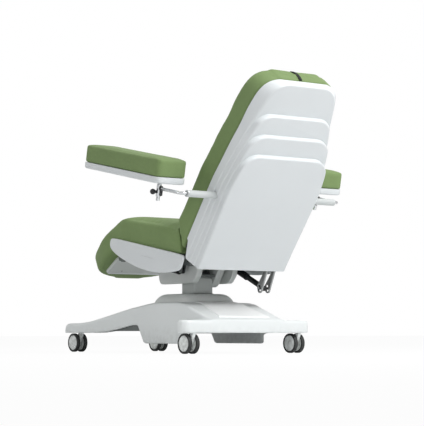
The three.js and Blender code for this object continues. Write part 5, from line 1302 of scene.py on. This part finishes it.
class DIALYSIS_CHAIR_OT_back_cushion(bpy.types.Operator):
    """Make the back cushion and the strap on its top edge"""

    bl_idname = "dialysis_chair.back_cushion"
    bl_label = "Back cushion"

    def execute(self, context):
        chosen = settings().upholstery
        shy = 0.002
        thick = 0.0997

        def root_at(level):
            return 0.1455 - 0.105 * max(0, 1 - level * 1.05) + shy

        def width_at(place):
            return back_half_width(place) - shy

        def to_point(x, place, level):
            flare = 1 + 0.04 * max(0, level) ** 1.5
            return Vector((x * flare, -0.128 + thick - (thick + 0.007) * level, place))

        form = tongue_form(rounded_levels(thick, 0.018), root_at, 1.039, width_at, to_point)

        def rules(local):
            local.y = min(local.y, -0.128 + thick)
            local.y = max(local.y, -0.149)
            local.z = min(local.z, 1.0445)
            level = (-0.128 + thick - local.y) / thick
            local.z = max(local.z, 0.1455 - 0.105 * max(0, 1 - level * 1.05))
            half = back_half_width(local.z) + 0.002 + 0.014 * max(0, min(1, level))
            local.x = max(-half, min(half, local.x))

        piece = foam(
            "back_upholstery", [moved(form, BACK)], chosen.mesh_size, chosen.pressure, chosen.swell, 20,
            held_in(BACK, rules),
        )
        add_piece("back_upholstery", piece, "vinyl", "backrest", ["back_cushion"], 80)
        self.make_strap()
        return {"FINISHED"}

    def make_strap(self):
        """A short loop of webbing over the top edge, stitched down at both ends."""
        top, rear, front = 1.041, -0.034, -0.122
        rows = []
        for i in range(25):
            share = i / 24
            y = rear + (front - rear) * share
            rows.append((y, top - 0.0075 + 0.0095 * math.sin(math.pi * share) ** 0.8))
        rings = []
        for y, z in rows:
            section = rectangle(0.004, 0.022, z, z + 0.0026)
            rings.append([Vector((x, y, h)) for x, h in soften(section, 0.0006, 2)])
        add_piece("pillow_strap_webbing", moved(loft(rings), BACK), "webbing", "backrest", ["pillow_strap"])


class DIALYSIS_CHAIR_OT_arm_pads(bpy.types.Operator):
    """Make the two arm pads and the trays that carry them"""

    bl_idname = "dialysis_chair.arm_pads"
    bl_label = "Arm pads"

    def execute(self, context):
        chosen = settings().upholstery
        rear, front, low, high, half, shy = -0.082, -0.755, 0.0623, 0.1503, 0.089, 0.0015
        plan = soften(rectangle(0.5 - half + shy, 0.5 + half - shy, front + shy, rear - shy), 0.034, 8)
        plan = plan[::-1] if area(plan) < 0 else plan
        edge = 0.009
        levels = [(low + 0.001 + edge * 0.6 * (1 - out), edge * 0.6 * inward) for out, inward in reversed(quarter(4))]
        levels += [(low + 0.03, 0), (low + 0.055, 0)]
        levels += [(high - shy - edge * (1 - out), edge * inward) for out, inward in quarter(5)]
        form = loft([on_z(z, inset(plan, inward)) for z, inward in levels])

        def rules(local):
            local.z = max(low, min(high + 0.0045, local.z))
            local.y = max(front - 0.002, min(rear + 0.002, local.y))
            local.x = max(0.5 - half - 0.002, min(0.5 + half + 0.0, local.x))

        left = foam(
            "arm_pad_left_upholstery", [moved(form, ARM)], chosen.small_mesh_size, chosen.pressure,
            chosen.small_swell, 20, held_in(ARM, rules),
        )
        right = left.copy()
        right.data = left.data.copy()
        for v in right.data.vertices:
            v.co.x = -v.co.x
        right.data.flip_normals()
        bpy.context.scene.collection.objects.link(right)
        for side, pad in (("left", left), ("right", right)):
            name = f"arm_pad_{side}_upholstery"
            add_piece(name, pad, "vinyl", f"arm_rest_{side}", [f"arm_pad_{side}"], 80)
            tray = self.tray(half)
            tray = tray if side == "left" else mirrored(tray)
            add_piece(
                f"arm_tray_{side}", moved(tray, ARM), "shell", f"arm_rest_{side}", [f"arm_base_{side}"]
            )
        return {"FINISHED"}

    def tray(self, half):
        """A shallow moulded tray whose rim stands a little proud of the pad."""
        bottom, top, front, rear = 0.03, 0.062, -0.755, -0.082
        rows = [(bottom, 0.009), (bottom + 0.0008, 0.0062), (bottom + 0.0025, 0.0034), (bottom + 0.005, 0.0018),
                (bottom + 0.009, 0.0009), (bottom + 0.018, 0.0004), (top - 0.002, 0.0002), (top - 0.0006, 0.0006),
                (top, 0.0018)]
        rings = []
        for z, shy in rows:
            plan = soften(rectangle(0.5 - half + shy, 0.5 + half - shy, front + shy, rear - shy), 0.034, 8)
            rings.append(on_z(z, plan))
        return loft(rings)


# Back shell

SHELL_DEPTHS = [0.235, 0.206, 0.178, 0.15]
SHELL_LEDGES = [0.527, 0.623, 0.722, 0.886]
SHELL_DRAFT = [
    (0, 0.08), (0.2, 0.05), (0.35, 0.03), (0.47, 0.05), (0.56, 0.13), (0.69, 0.32), (0.805, 0.68), (0.9, 0.85),
]
SHELL_FOOT = 0.1455 - 0.123
SHELL_FRONT = -0.128 + 0.0997 + 0.0006


def shell_half_width(z, depth):
    draft = curve_at(SHELL_DRAFT, (z - 0.1455) / 0.888)
    return back_half_width(z) - 0.003 - draft * (depth - 0.0997)


def shell_ring(index, top, depth, wall, inward=0.0):
    """The outline of one layer of the shell at a depth behind the chair's face."""
    step = 0.005 * (3 - index)
    foot = SHELL_FOOT - (0.008 if wall else 0)

    def width(z):
        return shell_half_width(z, depth) - wall - step - inward

    high = 0.1455 + top - wall - inward
    bend = high - 0.1 + inward * 0.5
    radius = high - bend
    half = [(width(foot + (bend - foot) * i / 26), foot + (bend - foot) * i / 26) for i in range(26)]
    for i in range(15):
        turn = math.pi / 2 * i / 14
        z = bend + radius * math.sin(turn)
        half.append((min(width(bend) - radius * (1 - math.cos(turn)), width(z)), z))
    outline = half + [(-x, z) for x, z in reversed(half)]
    return [Vector((x, -0.128 + depth, z)) for x, z in outline]


def shell_layer(index, wall):
    """One layer of the shell, with a rounded edge to its rear face."""
    depth = SHELL_DEPTHS[index] - wall
    outermost = index == 3
    front = 0.1003 - (0.008 if wall else 0) if outermost else SHELL_DEPTHS[index + 1] - 0.02 - wall
    top = SHELL_LEDGES[index]
    edge = 0.0095
    rings = [shell_ring(index, top, front, wall)]
    if outermost and not wall:
        rings = [shell_ring(index, top, front, 0, 0.0016), shell_ring(index, top, front + 0.0016, 0)]
    rings.append(shell_ring(index, top, depth - edge, wall))
    for out, inward in quarter(6)[1:]:
        rings.append(shell_ring(index, top, depth - edge * (1 - out), wall, edge * inward * 0.9))
    return loft(rings)


class DIALYSIS_CHAIR_OT_back_shell(bpy.types.Operator):
    """Make the back shell in its four stepped layers"""

    bl_idname = "dialysis_chair.back_shell"
    bl_label = "Back shell"

    def execute(self, context):
        wall = settings().covers.shell_wall
        layers = [link_form("layer", moved(shell_layer(i, 0), BACK)) for i in range(4)]
        shell = layers[3]
        combine(shell, layers[:3], "UNION")
        tools = [link_form("tool", moved(shell_layer(i, wall), BACK)) for i in range(4)]
        foot = SHELL_FOOT
        cut_top = 0.1455 - 0.03
        corner = [
            (SHELL_FRONT - 0.045, cut_top), (SHELL_FRONT, cut_top), (SHELL_FRONT + 0.012, cut_top - 0.006),
            (SHELL_FRONT + 0.038, foot + 0.014), (SHELL_FRONT + 0.047, foot), (SHELL_FRONT + 0.047, foot - 0.045),
            (SHELL_FRONT - 0.045, foot - 0.045),
        ]
        tools.append(link_form("tool", moved(slab(corner, -0.32, 0.32, on_x), BACK)))
        bore = rod(0.0174, (-0.4, 0.033, 0.4055), (0.4, 0.033, 0.4055))
        tools.append(link_form("tool", moved(bore, BACK)))
        combine(shell, tools, "DIFFERENCE")
        add_piece("back_shell_moulding", shell, "shell", "backrest", ["back_shell"], 28)
        return {"FINISHED"}


# Covers of the seat and the leg rest

SIDE_COVER = [
    (0.005, 0.1), (0.03, 0), (0.3, 0), (0.65, 0), (0.985, 0), (1, 0.08), (0.985, 0.42), (0.965, 0.62), (0.91, 0.73),
    (0.84, 0.82), (0.77, 0.9), (0.65, 0.99), (0.52, 1), (0.39, 0.96), (0.26, 0.85), (0.14, 0.72), (0.045, 0.55),
    (0.003, 0.38),
]


def smooth_outline(points, rounds=2):
    """An outline with its corners cut again and again until it flows."""
    for _ in range(rounds):
        finer = []
        for a, b in zip(points, points[1:] + points[:1]):
            finer.append((a[0] * 0.75 + b[0] * 0.25, a[1] * 0.75 + b[1] * 0.25))
            finer.append((a[0] * 0.25 + b[0] * 0.75, a[1] * 0.25 + b[1] * 0.75))
        points = finer
    return points


class DIALYSIS_CHAIR_OT_seat_covers(bpy.types.Operator):
    """Make the side covers, the cover under the seat and the leg rest's plate"""

    bl_idname = "dialysis_chair.seat_covers"
    bl_label = "Seat covers"

    def execute(self, context):
        for side, sign in SIDES.items():
            panel = self.side_panel()
            panel = panel if sign > 0 else mirrored(panel)
            name = f"side_cover_{side}"
            add_piece(f"{name}_panel", moved(panel, SEAT), "shell", "seat", [name], 30)
        self.make_under_cover()
        self.make_leg_plate()
        return {"FINISHED"}

    def side_panel(self):
        """A dished panel: a rounded outer edge, and a raised field with a soft step round it."""
        outline = [(0.292 - 0.672 + 0.672 * a, 0.11 - 0.124 * b) for a, b in SIDE_COVER]
        outline = smooth_outline(outline)
        outline = outline[::-1] if area(outline) < 0 else outline
        inner, outer, edge = 0.3005, 0.3125, 0.006
        rows = [(inner, 0.002), (inner, 0), (outer - 0.0016 - edge, 0)]
        rows += [(outer - 0.0016 - edge * (1 - out), edge * inward) for out, inward in quarter(4)[1:]]
        rows += [(outer - 0.0017, 0.0085), (outer - 0.0012, 0.0105), (outer - 0.0003, 0.0125), (outer, 0.015)]
        rings = [on_x(x, inset(outline, inward)) for x, inward in rows]
        middle = (sum(p[0] for p in outline) / len(outline), sum(p[1] for p in outline) / len(outline))
        last = rings[-1]
        for share in (0.8, 0.5, 0.2):
            rings.append([
                Vector((outer + 0.0004 * (1 - share), middle[0] + (p.y - middle[0]) * share,
                        middle[1] + (p.z - middle[1]) * share)) for p in last
            ])
        screws = []
        for y in (-0.15, 0.0, 0.15):
            screws.append(rod(0.008, (0.2628, y, 0.0556), (inner + 0.001, y, 0.0556)))
        return gathered(loft(rings), *screws)

    def make_under_cover(self):
        """The two moulded cheeks beside the column head, with a fine joint, and the bridge between them."""
        top, front, rear = 0.0625, -0.195, 0.141
        outline = soften([
            (front, top), (front, -0.0742), (-0.1736, -0.106), (0.1114, -0.053), (rear, -0.0053), (rear, top),
        ], [0.002, 0.017, 0.017, 0.017, 0.017, 0.002], 6)
        edge, joint = 0.007, 0.0008
        cheeks = []
        for inner, outer in ((0.07, 0.104), (-0.124, -0.158)):
            side = 1 if outer > inner else -1
            seam = inner + side * 0.014
            rows = [(inner, 0.001), (inner + side * 0.001, 0), (seam - side * joint, 0), (seam - side * joint, joint),
                    (seam + side * joint, joint), (seam + side * joint, 0)]
            rows += [(outer - side * edge * (1 - out), edge * inward) for out, inward in quarter(5)]
            cheeks.append(loft([on_x(x, inset(outline, inward)) for x, inward in rows]))
        bridge = brick(-0.13, 0.08, -0.178, -0.161, 0.0285, top - 0.0004, 0.002)
        cover = link_form("under_cover_cheeks", moved(cheeks[0], SEAT))
        combine(cover, [link_form("tool", moved(form, SEAT)) for form in (cheeks[1], bridge)], "UNION")
        add_piece("under_cover_cheeks", cover, "inner_cover", "seat", ["under_cover"])

    def make_leg_plate(self):
        """The tray under the leg pad, with a bright rolled lip at its lower edge and four screws."""
        rear, front, wide, narrow = -0.196, -0.368, 0.226, 0.2034
        top, bottom, wall = 0.0337, 0.0197, 0.003
        plan = soften([(-wide, rear), (-narrow, front), (narrow, front), (wide, rear)], 0.022, 6)
        plan = plan[::-1] if area(plan) < 0 else plan
        edge = 0.0045
        rows = [(bottom + wall, wall + edge), (bottom + wall + edge, wall), (top, wall), (top, 0), (bottom + edge, 0)]
        rows += [(bottom + edge * (1 - out), edge * inward) for out, inward in quarter(4)[1:]]
        rows += [(bottom, 0.009), (bottom + 0.0009, 0.0115)]
        tray = loft([on_z(z, inset(plan, inward)) for z, inward in rows])
        add_piece("leg_plate_tray", moved(tray, LEG), "inner_cover", "leg_rest", ["leg_plate"], 30)
        low = soften(rectangle(-0.19, 0.19, -0.3676, -0.353), 0.005, 4)
        high = soften(rectangle(-0.1915, 0.1915, -0.3688, -0.3518), 0.006, 4)
        lip = loft([on_z(bottom - 0.0006, low), on_z(bottom + 0.0005, high), on_z(bottom + 0.006, high)])
        add_piece("leg_plate_lip", moved(lip, LEG), "shell", "leg_rest", ())
        for side, sign in SIDES.items():
            for label, y in (("rear", -0.215), ("front", -0.335)):
                profile = [(0.0, -0.0012), (0.004, -0.0012), (0.0056, 0.0), (0.0056, 0.0024), (0, 0.0024)]
                place = LEG @ Matrix.Translation((sign * 0.12, y, bottom + 0.0002))
                add_piece(f"leg_plate_screw_{side}_{label}", moved(turned(profile, "Z", 22), place), "lever", "leg_rest")


# Armrest metalwork


class DIALYSIS_CHAIR_OT_arm_metalwork(bpy.types.Operator):
    """Make the arm tube, the bent rods, clamps, knobs and posts"""

    bl_idname = "dialysis_chair.arm_metalwork"
    bl_label = "Arm metalwork"

    def execute(self, context):
        radius = settings().metal.rod_radius
        self.make_tube()
        for side, sign in SIDES.items():
            flip = (lambda form: form) if sign > 0 else mirrored

            def add(label, form, material, body, nodes):
                add_piece(f"{label}_{side}", moved(flip(form), ARM), material, body, nodes)

            add("arm_rod_bent", self.bent_rod(radius), "chrome", f"arm_{side}", [f"arm_rod_{side}"])
            add("arm_clamp_block", self.clamp(), "black", f"arm_{side}", [f"arm_clamp_{side}"])
            add("arm_clamp_screw", self.clamp_screw(), "lever", f"arm_{side}", ())
            bush = turned([
                (0.0095, -0.04), (0.0118, -0.04), (0.0121, -0.0395), (0.0121, 0.0175), (0.0128, 0.0178),
                (0.0128, 0.0192), (0.0095, 0.0192),
            ])
            bush = moved(bush, Matrix.Translation((0.5, -0.1826, 0)))
            add("clamp_bush_sleeve", bush, "chrome", f"arm_bush_{side}", [f"clamp_bush_{side}"])
            add("clamp_knob_ball", self.knob(), "black", f"knob_{side}", [f"clamp_knob_{side}"])
            add("arm_post_turned", self.post(), "chrome", f"arm_rest_{side}", [f"arm_post_{side}"])
        return {"FINISHED"}

    def make_tube(self):
        end, outer, bore = 0.465, 0.017, 0.009
        profile = [(bore, end - 0.03), (bore, end - 0.0006), (bore + 0.0006, end), (0.0128, end), (0.0133, end - 0.0005),
                   (0.0133, end - 0.0016), (0.0142, end - 0.0016), (0.0142, end), (outer - 0.0016, end),
                   (outer - 0.0005, end - 0.0004), (outer, end - 0.0016), (outer, end - 0.012),
                   (outer - 0.0005, end - 0.0125), (outer - 0.0005, end - 0.0135), (outer, end - 0.014)]
        full = profile + [(r, -x) for r, x in reversed(profile)]
        tube = moved(turned(full, "X", 56), BACK @ Matrix.Translation((0, 0.033, 0.4055)))
        add_piece("arm_tube_through", tube, "tube", "backrest", ["arm_tube"], 25)

    def bent_rod(self, radius):
        path = [(0.225, 0, 0), (0.35, 0, 0), (0.455, 0, 0)]
        path += [(0.472 + 0.028 * math.sin(t), -0.028 + 0.028 * math.cos(t), 0) for t in
                 (math.pi / 2 * i / 10 for i in range(11))]
        path += [(0.5, -0.08, 0), (0.5, -0.12, 0), (0.5, -0.1663, 0)]
        return swept(path, radius, 36)

    def clamp(self):
        """A split block: its eased edges and the boss that meets the rod."""
        block = brick(0.4845, 0.5035, -0.1986, -0.1666, -0.036, 0.012, 0.0045, 4)
        lug = moved(turned([(0.0, 0), (0.0118, 0), (0.0122, 0.0006), (0.0122, 0.006), (0.0085, 0.0072), (0, 0.0072)],
                           "Y", 32), Matrix.Translation((0.5, -0.1667, 0)))
        boss = moved(turned([(0.0, 0), (0.0078, 0), (0.0078, 0.0035), (0.0068, 0.0046), (0, 0.0046)], "X", 32),
                     Matrix.Translation((0.5104, -0.1826, -0.018)))
        return gathered(block, lug, boss)

    def clamp_screw(self):
        heads = []
        for z in (0.007, -0.031):
            profile = [(0.0, -0.0006), (0.0022, -0.0006), (0.0024, -0.0022), (0.0038, -0.0022), (0.0042, -0.0016),
                       (0.0042, 0.001), (0, 0.001)]
            head = moved(turned(profile, "Y", 6), Matrix.Translation((0.491, -0.1986, z)))
            heads.append(head)
        return gathered(*heads)

    def knob(self):
        """A ball with a short neck and collar on its screw."""
        start, middle, radius = 0.5132, 0.534, 0.014
        profile = [(0.0, start), (0.0036, start), (0.004, start + 0.0006), (0.004, middle - 0.0155),
                   (0.0072, middle - 0.0155), (0.0078, middle - 0.0148), (0.0074, middle - 0.012)]
        for i in range(1, 17):
            turn = math.pi * (0.84 - 0.84 * i / 16)
            profile.append((max(radius * math.sin(turn), 0.0), middle + radius * math.cos(turn)))
        return moved(turned(profile, "X", 40), Matrix.Translation((0, -0.1826, -0.018)))

    def post(self):
        top = 0.0297
        profile = [(0.0, -0.061), (0.0074, -0.061), (0.0086, -0.0602), (0.009, -0.059), (0.009, -0.0475),
                   (0.0084, -0.047), (0.0084, -0.0458), (0.009, -0.0453), (0.009, top - 0.0115),
                   (0.0094, top - 0.0085), (0.0108, top - 0.006), (0.014, top - 0.0045), (0.028, top - 0.0038),
                   (0.0295, top - 0.0033), (0.03, top - 0.0024), (0.03, top - 0.0004), (0.0296, top), (0, top)]
        return moved(turned(profile, "Z", 56), Matrix.Translation((0.5, -0.1826, 0)))


# Frame, levers and actuators


class DIALYSIS_CHAIR_OT_mechanism(bpy.types.Operator):
    """Give the frames their paint, and make the lever and the actuators"""

    bl_idname = "dialysis_chair.mechanism"
    bl_label = "Mechanism"

    def execute(self, context):
        for node in ("base_frame", "seat_frame", "leg_frame"):
            paint_node(node, "frame")
        paint_node("back_frame", "black_metal")
        for node in ("seat_board", "back_board"):
            paint_node(node, "black")
        paint_node("tilt_axle", "lever")
        paint_node("lift_drive", "black_metal")
        self.make_lever()
        self.make_actuators()
        self.make_brackets()
        return {"FINISHED"}

    def make_lever(self):
        """Two plates that hang from the rear beam, with a slot for the rod's cross pin."""
        pin_y, pin_z = 0.1007, -0.0875
        reach = math.hypot(pin_y, pin_z)
        near, far = [(pin_y * (1 + a / reach), pin_z * (1 + a / reach)) for a in (-0.01, 0.008)]
        seat, rear, top, neck = 0.0883, 0.0983, 0.095, 0.0247
        outline = arc(*near, 0.017, 160, 225, 5) + arc(*far, 0.017, 225, 370, 14)
        outline += [(rear, neck), (rear, top), (seat, top), (seat, neck), (rear - 0.0165, neck)]
        outline = outline[::-1] if area(outline) < 0 else outline
        plates = [slab(outline, x - 0.004, x + 0.004, on_x, top=0.0009, bottom=0.0009, steps=2) for x in (-0.22, -0.17)]
        tie = brick(-0.22, -0.17, seat, rear, 0.045, 0.07, 0.001)
        lever = link_form("recline_lever_plates", moved(plates[0], BACK))
        combine(lever, [link_form("tool", moved(f, BACK)) for f in (plates[1], tie)], "UNION")
        turn = math.atan2(far[1] - near[1], far[0] - near[0])
        side = (-math.sin(turn) * 0.01, math.cos(turn) * 0.01)
        slot = arc(*far, 0.01035, math.degrees(turn) - 90, math.degrees(turn) + 90, 14)
        slot += arc(*near, 0.01035, math.degrees(turn) + 90, math.degrees(turn) + 270, 14)
        combine(lever, [link_form("tool", moved(slab(slot, -0.25, -0.14, on_x), BACK))], "DIFFERENCE")
        add_piece("recline_lever_plates", lever, "lever", "backrest", ["recline_lever"])
        for x in (-0.22, -0.17):
            head = turned([(0.0, 0.0), (0.0052, 0.0), (0.0058, 0.0006), (0.0058, 0.0036), (0, 0.0036)], "Y", 6)
            label = "outer" if x < -0.2 else "inner"
            place = BACK @ Matrix.Translation((x, rear - 0.001, 0.085))
            add_piece(f"recline_lever_bolt_{label}", moved(head, place), "chrome", "backrest")

    def make_actuators(self):
        pivot = joint_place("recline_actuator_swing")
        rows = [
            ("recline", pivot, BACK @ Vector((-0.195, 0.1007, -0.0875)), 0.3, 0.12, 0.033),
            ("leg", Vector((0.14, 0.011787, 0.419375)), Vector((0.14, -0.281515, 0.481534)), 0.222, 0.058, 0.0184),
        ]
        holders = {"recline": "recline_actuator", "leg": "seat"}
        for name, pivot, pin, length, stroke, pin_reach in rows:
            span = (pin - pivot).length
            along = (pin - pivot).normalized()
            across = Vector((1, 0, 0))
            place = Matrix.Translation(pivot) @ Matrix((across, along, across.cross(along))).transposed().to_4x4()
            motor = moved(self.actuator_body(length), place)
            node = f"{name}_actuator_body"
            add_piece(f"{name}_motor_and_tube", motor, "black_metal", holders[name], [node], 30)
            ram = moved(self.actuator_rod(span, stroke, pin_reach), place)
            add_piece(f"{name}_rod_and_pin", ram, "black", f"{name}_rod", [f"{name}_actuator_rod"], 30)
            if name == "recline":
                for label, sign in (("outer", -1), ("inner", 1)):
                    cap = turned([
                        (0.0, 0.0), (0.0058, 0.0), (0.0064, -0.0008), (0.0064, -0.0026), (0, -0.0026),
                    ], "X", 28)
                    cap = cap if sign < 0 else mirrored(cap)
                    end = place @ Matrix.Translation((sign * pin_reach, span, 0))
                    add_piece(f"recline_pin_end_{label}", moved(cap, end), "chrome", "recline_rod")

    def actuator_body(self, length):
        shell = length * 0.62
        profile = [
            (0.0146, 0.0224), (0.0216, 0.0224), (0.023, 0.024), (0.023, shell * 0.42), (0.0222, shell * 0.425),
            (0.0222, shell * 0.435), (0.023, shell * 0.44), (0.023, shell - 0.003), (0.0218, shell - 0.0005),
            (0.0184, shell), (0.018, shell + 0.001), (0.018, length - 0.008), (0.0186, length - 0.0075),
            (0.0186, length - 0.0006), (0.018, length), (0.0145, length), (0.0145, 0.04), (0.0, 0.04),
        ]
        eye = moved(turned([(0.0074, -0.0078), (0.013, -0.0078), (0.0138, -0.007), (0.0138, 0.007), (0.013, 0.0078),
                            (0.0074, 0.0078), (0.0074, -0.0078)], "X", 36), Matrix.Identity(4))
        eye = eye[0], [f for f in eye[1] if len(f) == 4]
        neck = brick(-0.0078, 0.0078, 0.009, 0.0275, -0.0078, 0.0078, 0.001)
        return gathered(turned(profile, "Y", 44), eye, neck)

    def actuator_rod(self, span, stroke, pin_reach):
        start, end = 0.047 + stroke, span - 0.0364
        profile = [(0.0, start), (0.014, start), (0.014, end - 0.004), (0.0134, end - 0.003), (0.0134, end - 0.0016),
                   (0.014, end - 0.001), (0.0134, end), (0.0, end)]
        neck = brick(-0.0078, 0.0078, end - 0.004, span - 0.004, -0.0078, 0.0078, 0.0012)
        eye = rod(0.0138, (-0.0078, span, 0), (0.0078, span, 0), 0.001)
        pin = rod(0.0069, (-pin_reach, span, 0), (pin_reach, span, 0), 0.0008)
        return gathered(turned(profile, "Y", 40), neck, eye, pin)

    def make_brackets(self):
        """Black end stops on the leg frame's arms, seen below the side covers."""
        for side, sign in SIDES.items():
            x0, x1 = sorted((sign * 0.2075, sign * 0.2325))
            stop = brick(x0 - 0.001, x1 + 0.001, -0.128, -0.092, -0.0135, -0.004, 0.0022, 3)
            add_piece(f"leg_arm_stop_{side}", moved(stop, LEG), "black", "leg_rest", ())


# Stage


class DIALYSIS_CHAIR_OT_stage(bpy.types.Operator):
    """Make the floor, the soft lamps and the camera"""

    bl_idname = "dialysis_chair.stage"
    bl_label = "Stage"

    def execute(self, context):
        chosen = settings().stage
        scene = context.scene
        scene.view_settings.view_transform = "Standard"
        self.make_camera(scene, chosen)
        self.make_room(scene, chosen)
        self.make_floor(chosen)
        spots = [
            ("key_lamp", (-0.9, 3.3, 4.0), (0, 0.3, 0.6), 1.8, 165),
            ("ceiling_lamp", (0.6, -1.2, 4.2), (0, 0, 0.6), 2.6, 22),
            ("low_lamp", (0.3, 5.0, 1.2), (0, 0.1, 0.2), 1.8, 9),
            ("side_lamp", (5.6, -0.6, 2.6), (0, 0, 0.7), 3.0, 35),
        ]
        for name, place, aim, size, watts in spots:
            light = bpy.data.lights.new(name, "AREA")
            light.shape, light.size, light.energy = "DISK", size, watts * chosen.lamps
            lamp = bpy.data.objects.new(name, light)
            lamp.location = place
            lamp.rotation_mode = "QUATERNION"
            lamp.rotation_quaternion = (Vector(aim) - Vector(place)).to_track_quat("-Z", "Y")
            scene.collection.objects.link(lamp)
        return {"FINISHED"}

    def make_camera(self, scene, chosen):
        camera = bpy.data.objects.new("camera", bpy.data.cameras.new("camera"))
        camera.data.lens = chosen.lens
        camera.data.sensor_width = 36
        camera.data.clip_start, camera.data.clip_end = 0.05, 200
        camera.location = (5.082, 6.8737, 0.102)
        climb = math.radians(4.16)
        aim = Vector((-0.599, -0.8007, 0)).normalized() * math.cos(climb) + Vector((0, 0, math.sin(climb)))
        camera.rotation_mode = "QUATERNION"
        camera.rotation_quaternion = aim.to_track_quat("-Z", "Y")
        scene.collection.objects.link(camera)
        scene.camera = camera

    def make_room(self, scene, chosen):
        """Even light from all round, with a white wall behind it for the camera, metal and glass."""
        world = bpy.data.worlds.new("room")
        scene.world = world
        world.use_nodes = True
        world.node_tree.nodes.clear()
        sheet = Shade(world.node_tree)
        path = {}
        for index, name in enumerate(("camera", "glossy", "transmission")):
            output = {"camera": "Is Camera Ray", "glossy": "Is Glossy Ray", "transmission": "Is Transmission Ray"}
            path[name] = sheet.node("ShaderNodeLightPath", {}, {}, output[name])
        direct = path["camera"].sum_of("MAXIMUM", path["camera"], path["transmission"])
        height = sheet.node("ShaderNodeSeparateXYZ", {}, {0: sheet.node("ShaderNodeTexCoord", {}, {}, "Generated")}, 2)
        mirrored_room = height.ramp((0.0, 0.62), (0.5, 0.8), (0.75, 1.0))
        seen = path["glossy"] * mirrored_room
        soft = sheet.node("ShaderNodeBackground", {}, {"Color": (1, 1, 1, 1), "Strength": chosen.room})
        shine = sheet.node("ShaderNodeBackground", {}, {"Color": (1, 1, 1, 1), "Strength": 0.85})
        wall = sheet.node("ShaderNodeBackground", {}, {"Color": (1, 1, 1, 1), "Strength": 1.0})
        mixed = sheet.node("ShaderNodeMixShader", {}, {0: seen, 1: soft, 2: shine})
        shown = sheet.node("ShaderNodeMixShader", {}, {0: direct, 1: mixed, 2: wall})
        sheet.node("ShaderNodeOutputWorld", {}, {"Surface": shown})

    def make_floor(self, chosen):
        """A pale floor that runs to the horizon and keeps the chair's soft shadow."""
        form = [Vector((x, y, 0)) for x, y in ((-40, -40), (40, -40), (40, 40), (-40, 40))], [(0, 1, 2, 3)]
        floor = link_form("floor", form)
        material = bpy.data.materials.new("floor_paint")
        material.use_nodes = True
        material.node_tree.nodes.clear()
        sheet = Shade(material.node_tree)
        cloud = sheet.noise(0.8, 3)
        body = sheet.mix(cloud, tone(chosen.floor, 0.99), tone(chosen.floor, 1.01))
        camera = sheet.node("ShaderNodeLightPath", {}, {}, "Is Camera Ray")
        paint = sheet.node(
            "ShaderNodeBsdfPrincipled", {},
            {"Base Color": body, "Roughness": 0.8, "Specular IOR Level": 0.1},
        )
        glow = sheet.node("ShaderNodeEmission", {}, {"Color": (1, 1, 1, 1), "Strength": 1.0})
        share = sheet.node("ShaderNodeMixShader", {}, {0: camera * 0.95, 1: paint, 2: glow})
        sheet.node("ShaderNodeOutputMaterial", {}, {"Surface": share})
        floor.data.materials.append(material)


# Panel


class DIALYSIS_CHAIR_PT_pieces(bpy.types.Panel):
    """The chair's settings and the steps that make it"""

    bl_idname = "DIALYSIS_CHAIR_PT_pieces"
    bl_label = "Dialysis Chair"
    bl_space_type = "VIEW_3D"
    bl_region_type = "UI"
    bl_category = "Dialysis Chair"

    def draw(self, context):
        layout = self.layout
        groups = [settings().upholstery, settings().covers, settings().metal, settings().casters, settings().stage]
        for group in groups:
            box = layout.box()
            for name in group.__annotations__:
                box.prop(group, name)
        column = layout.column(align=True)
        for step in STEPS:
            column.operator(step.bl_idname)


STEPS = [
    DIALYSIS_CHAIR_OT_stage,
    DIALYSIS_CHAIR_OT_base_cover,
    DIALYSIS_CHAIR_OT_lift_column,
    DIALYSIS_CHAIR_OT_casters,
    DIALYSIS_CHAIR_OT_mechanism,
    DIALYSIS_CHAIR_OT_seat_covers,
    DIALYSIS_CHAIR_OT_back_shell,
    DIALYSIS_CHAIR_OT_arm_metalwork,
    DIALYSIS_CHAIR_OT_seat_upholstery,
    DIALYSIS_CHAIR_OT_back_cushion,
    DIALYSIS_CHAIR_OT_arm_pads,
]
GROUPS = [
    UpholsterySettings, CoverSettings, MetalSettings, CasterSettings, StageSettings, ChairSettings,
]
CLASSES = [*GROUPS, *STEPS, DIALYSIS_CHAIR_PT_pieces]


def register():
    for kind in CLASSES:
        bpy.utils.register_class(kind)
    bpy.types.Scene.dialysis_chair = bpy.props.PointerProperty(type=ChairSettings)


def unregister():
    del bpy.types.Scene.dialysis_chair
    for kind in reversed(CLASSES):
        bpy.utils.unregister_class(kind)


def main():
    register()
    for name in (step.bl_idname.split(".")[1] for step in STEPS):
        getattr(bpy.ops.dialysis_chair, name)()


if __name__ == "__main__":
    main()
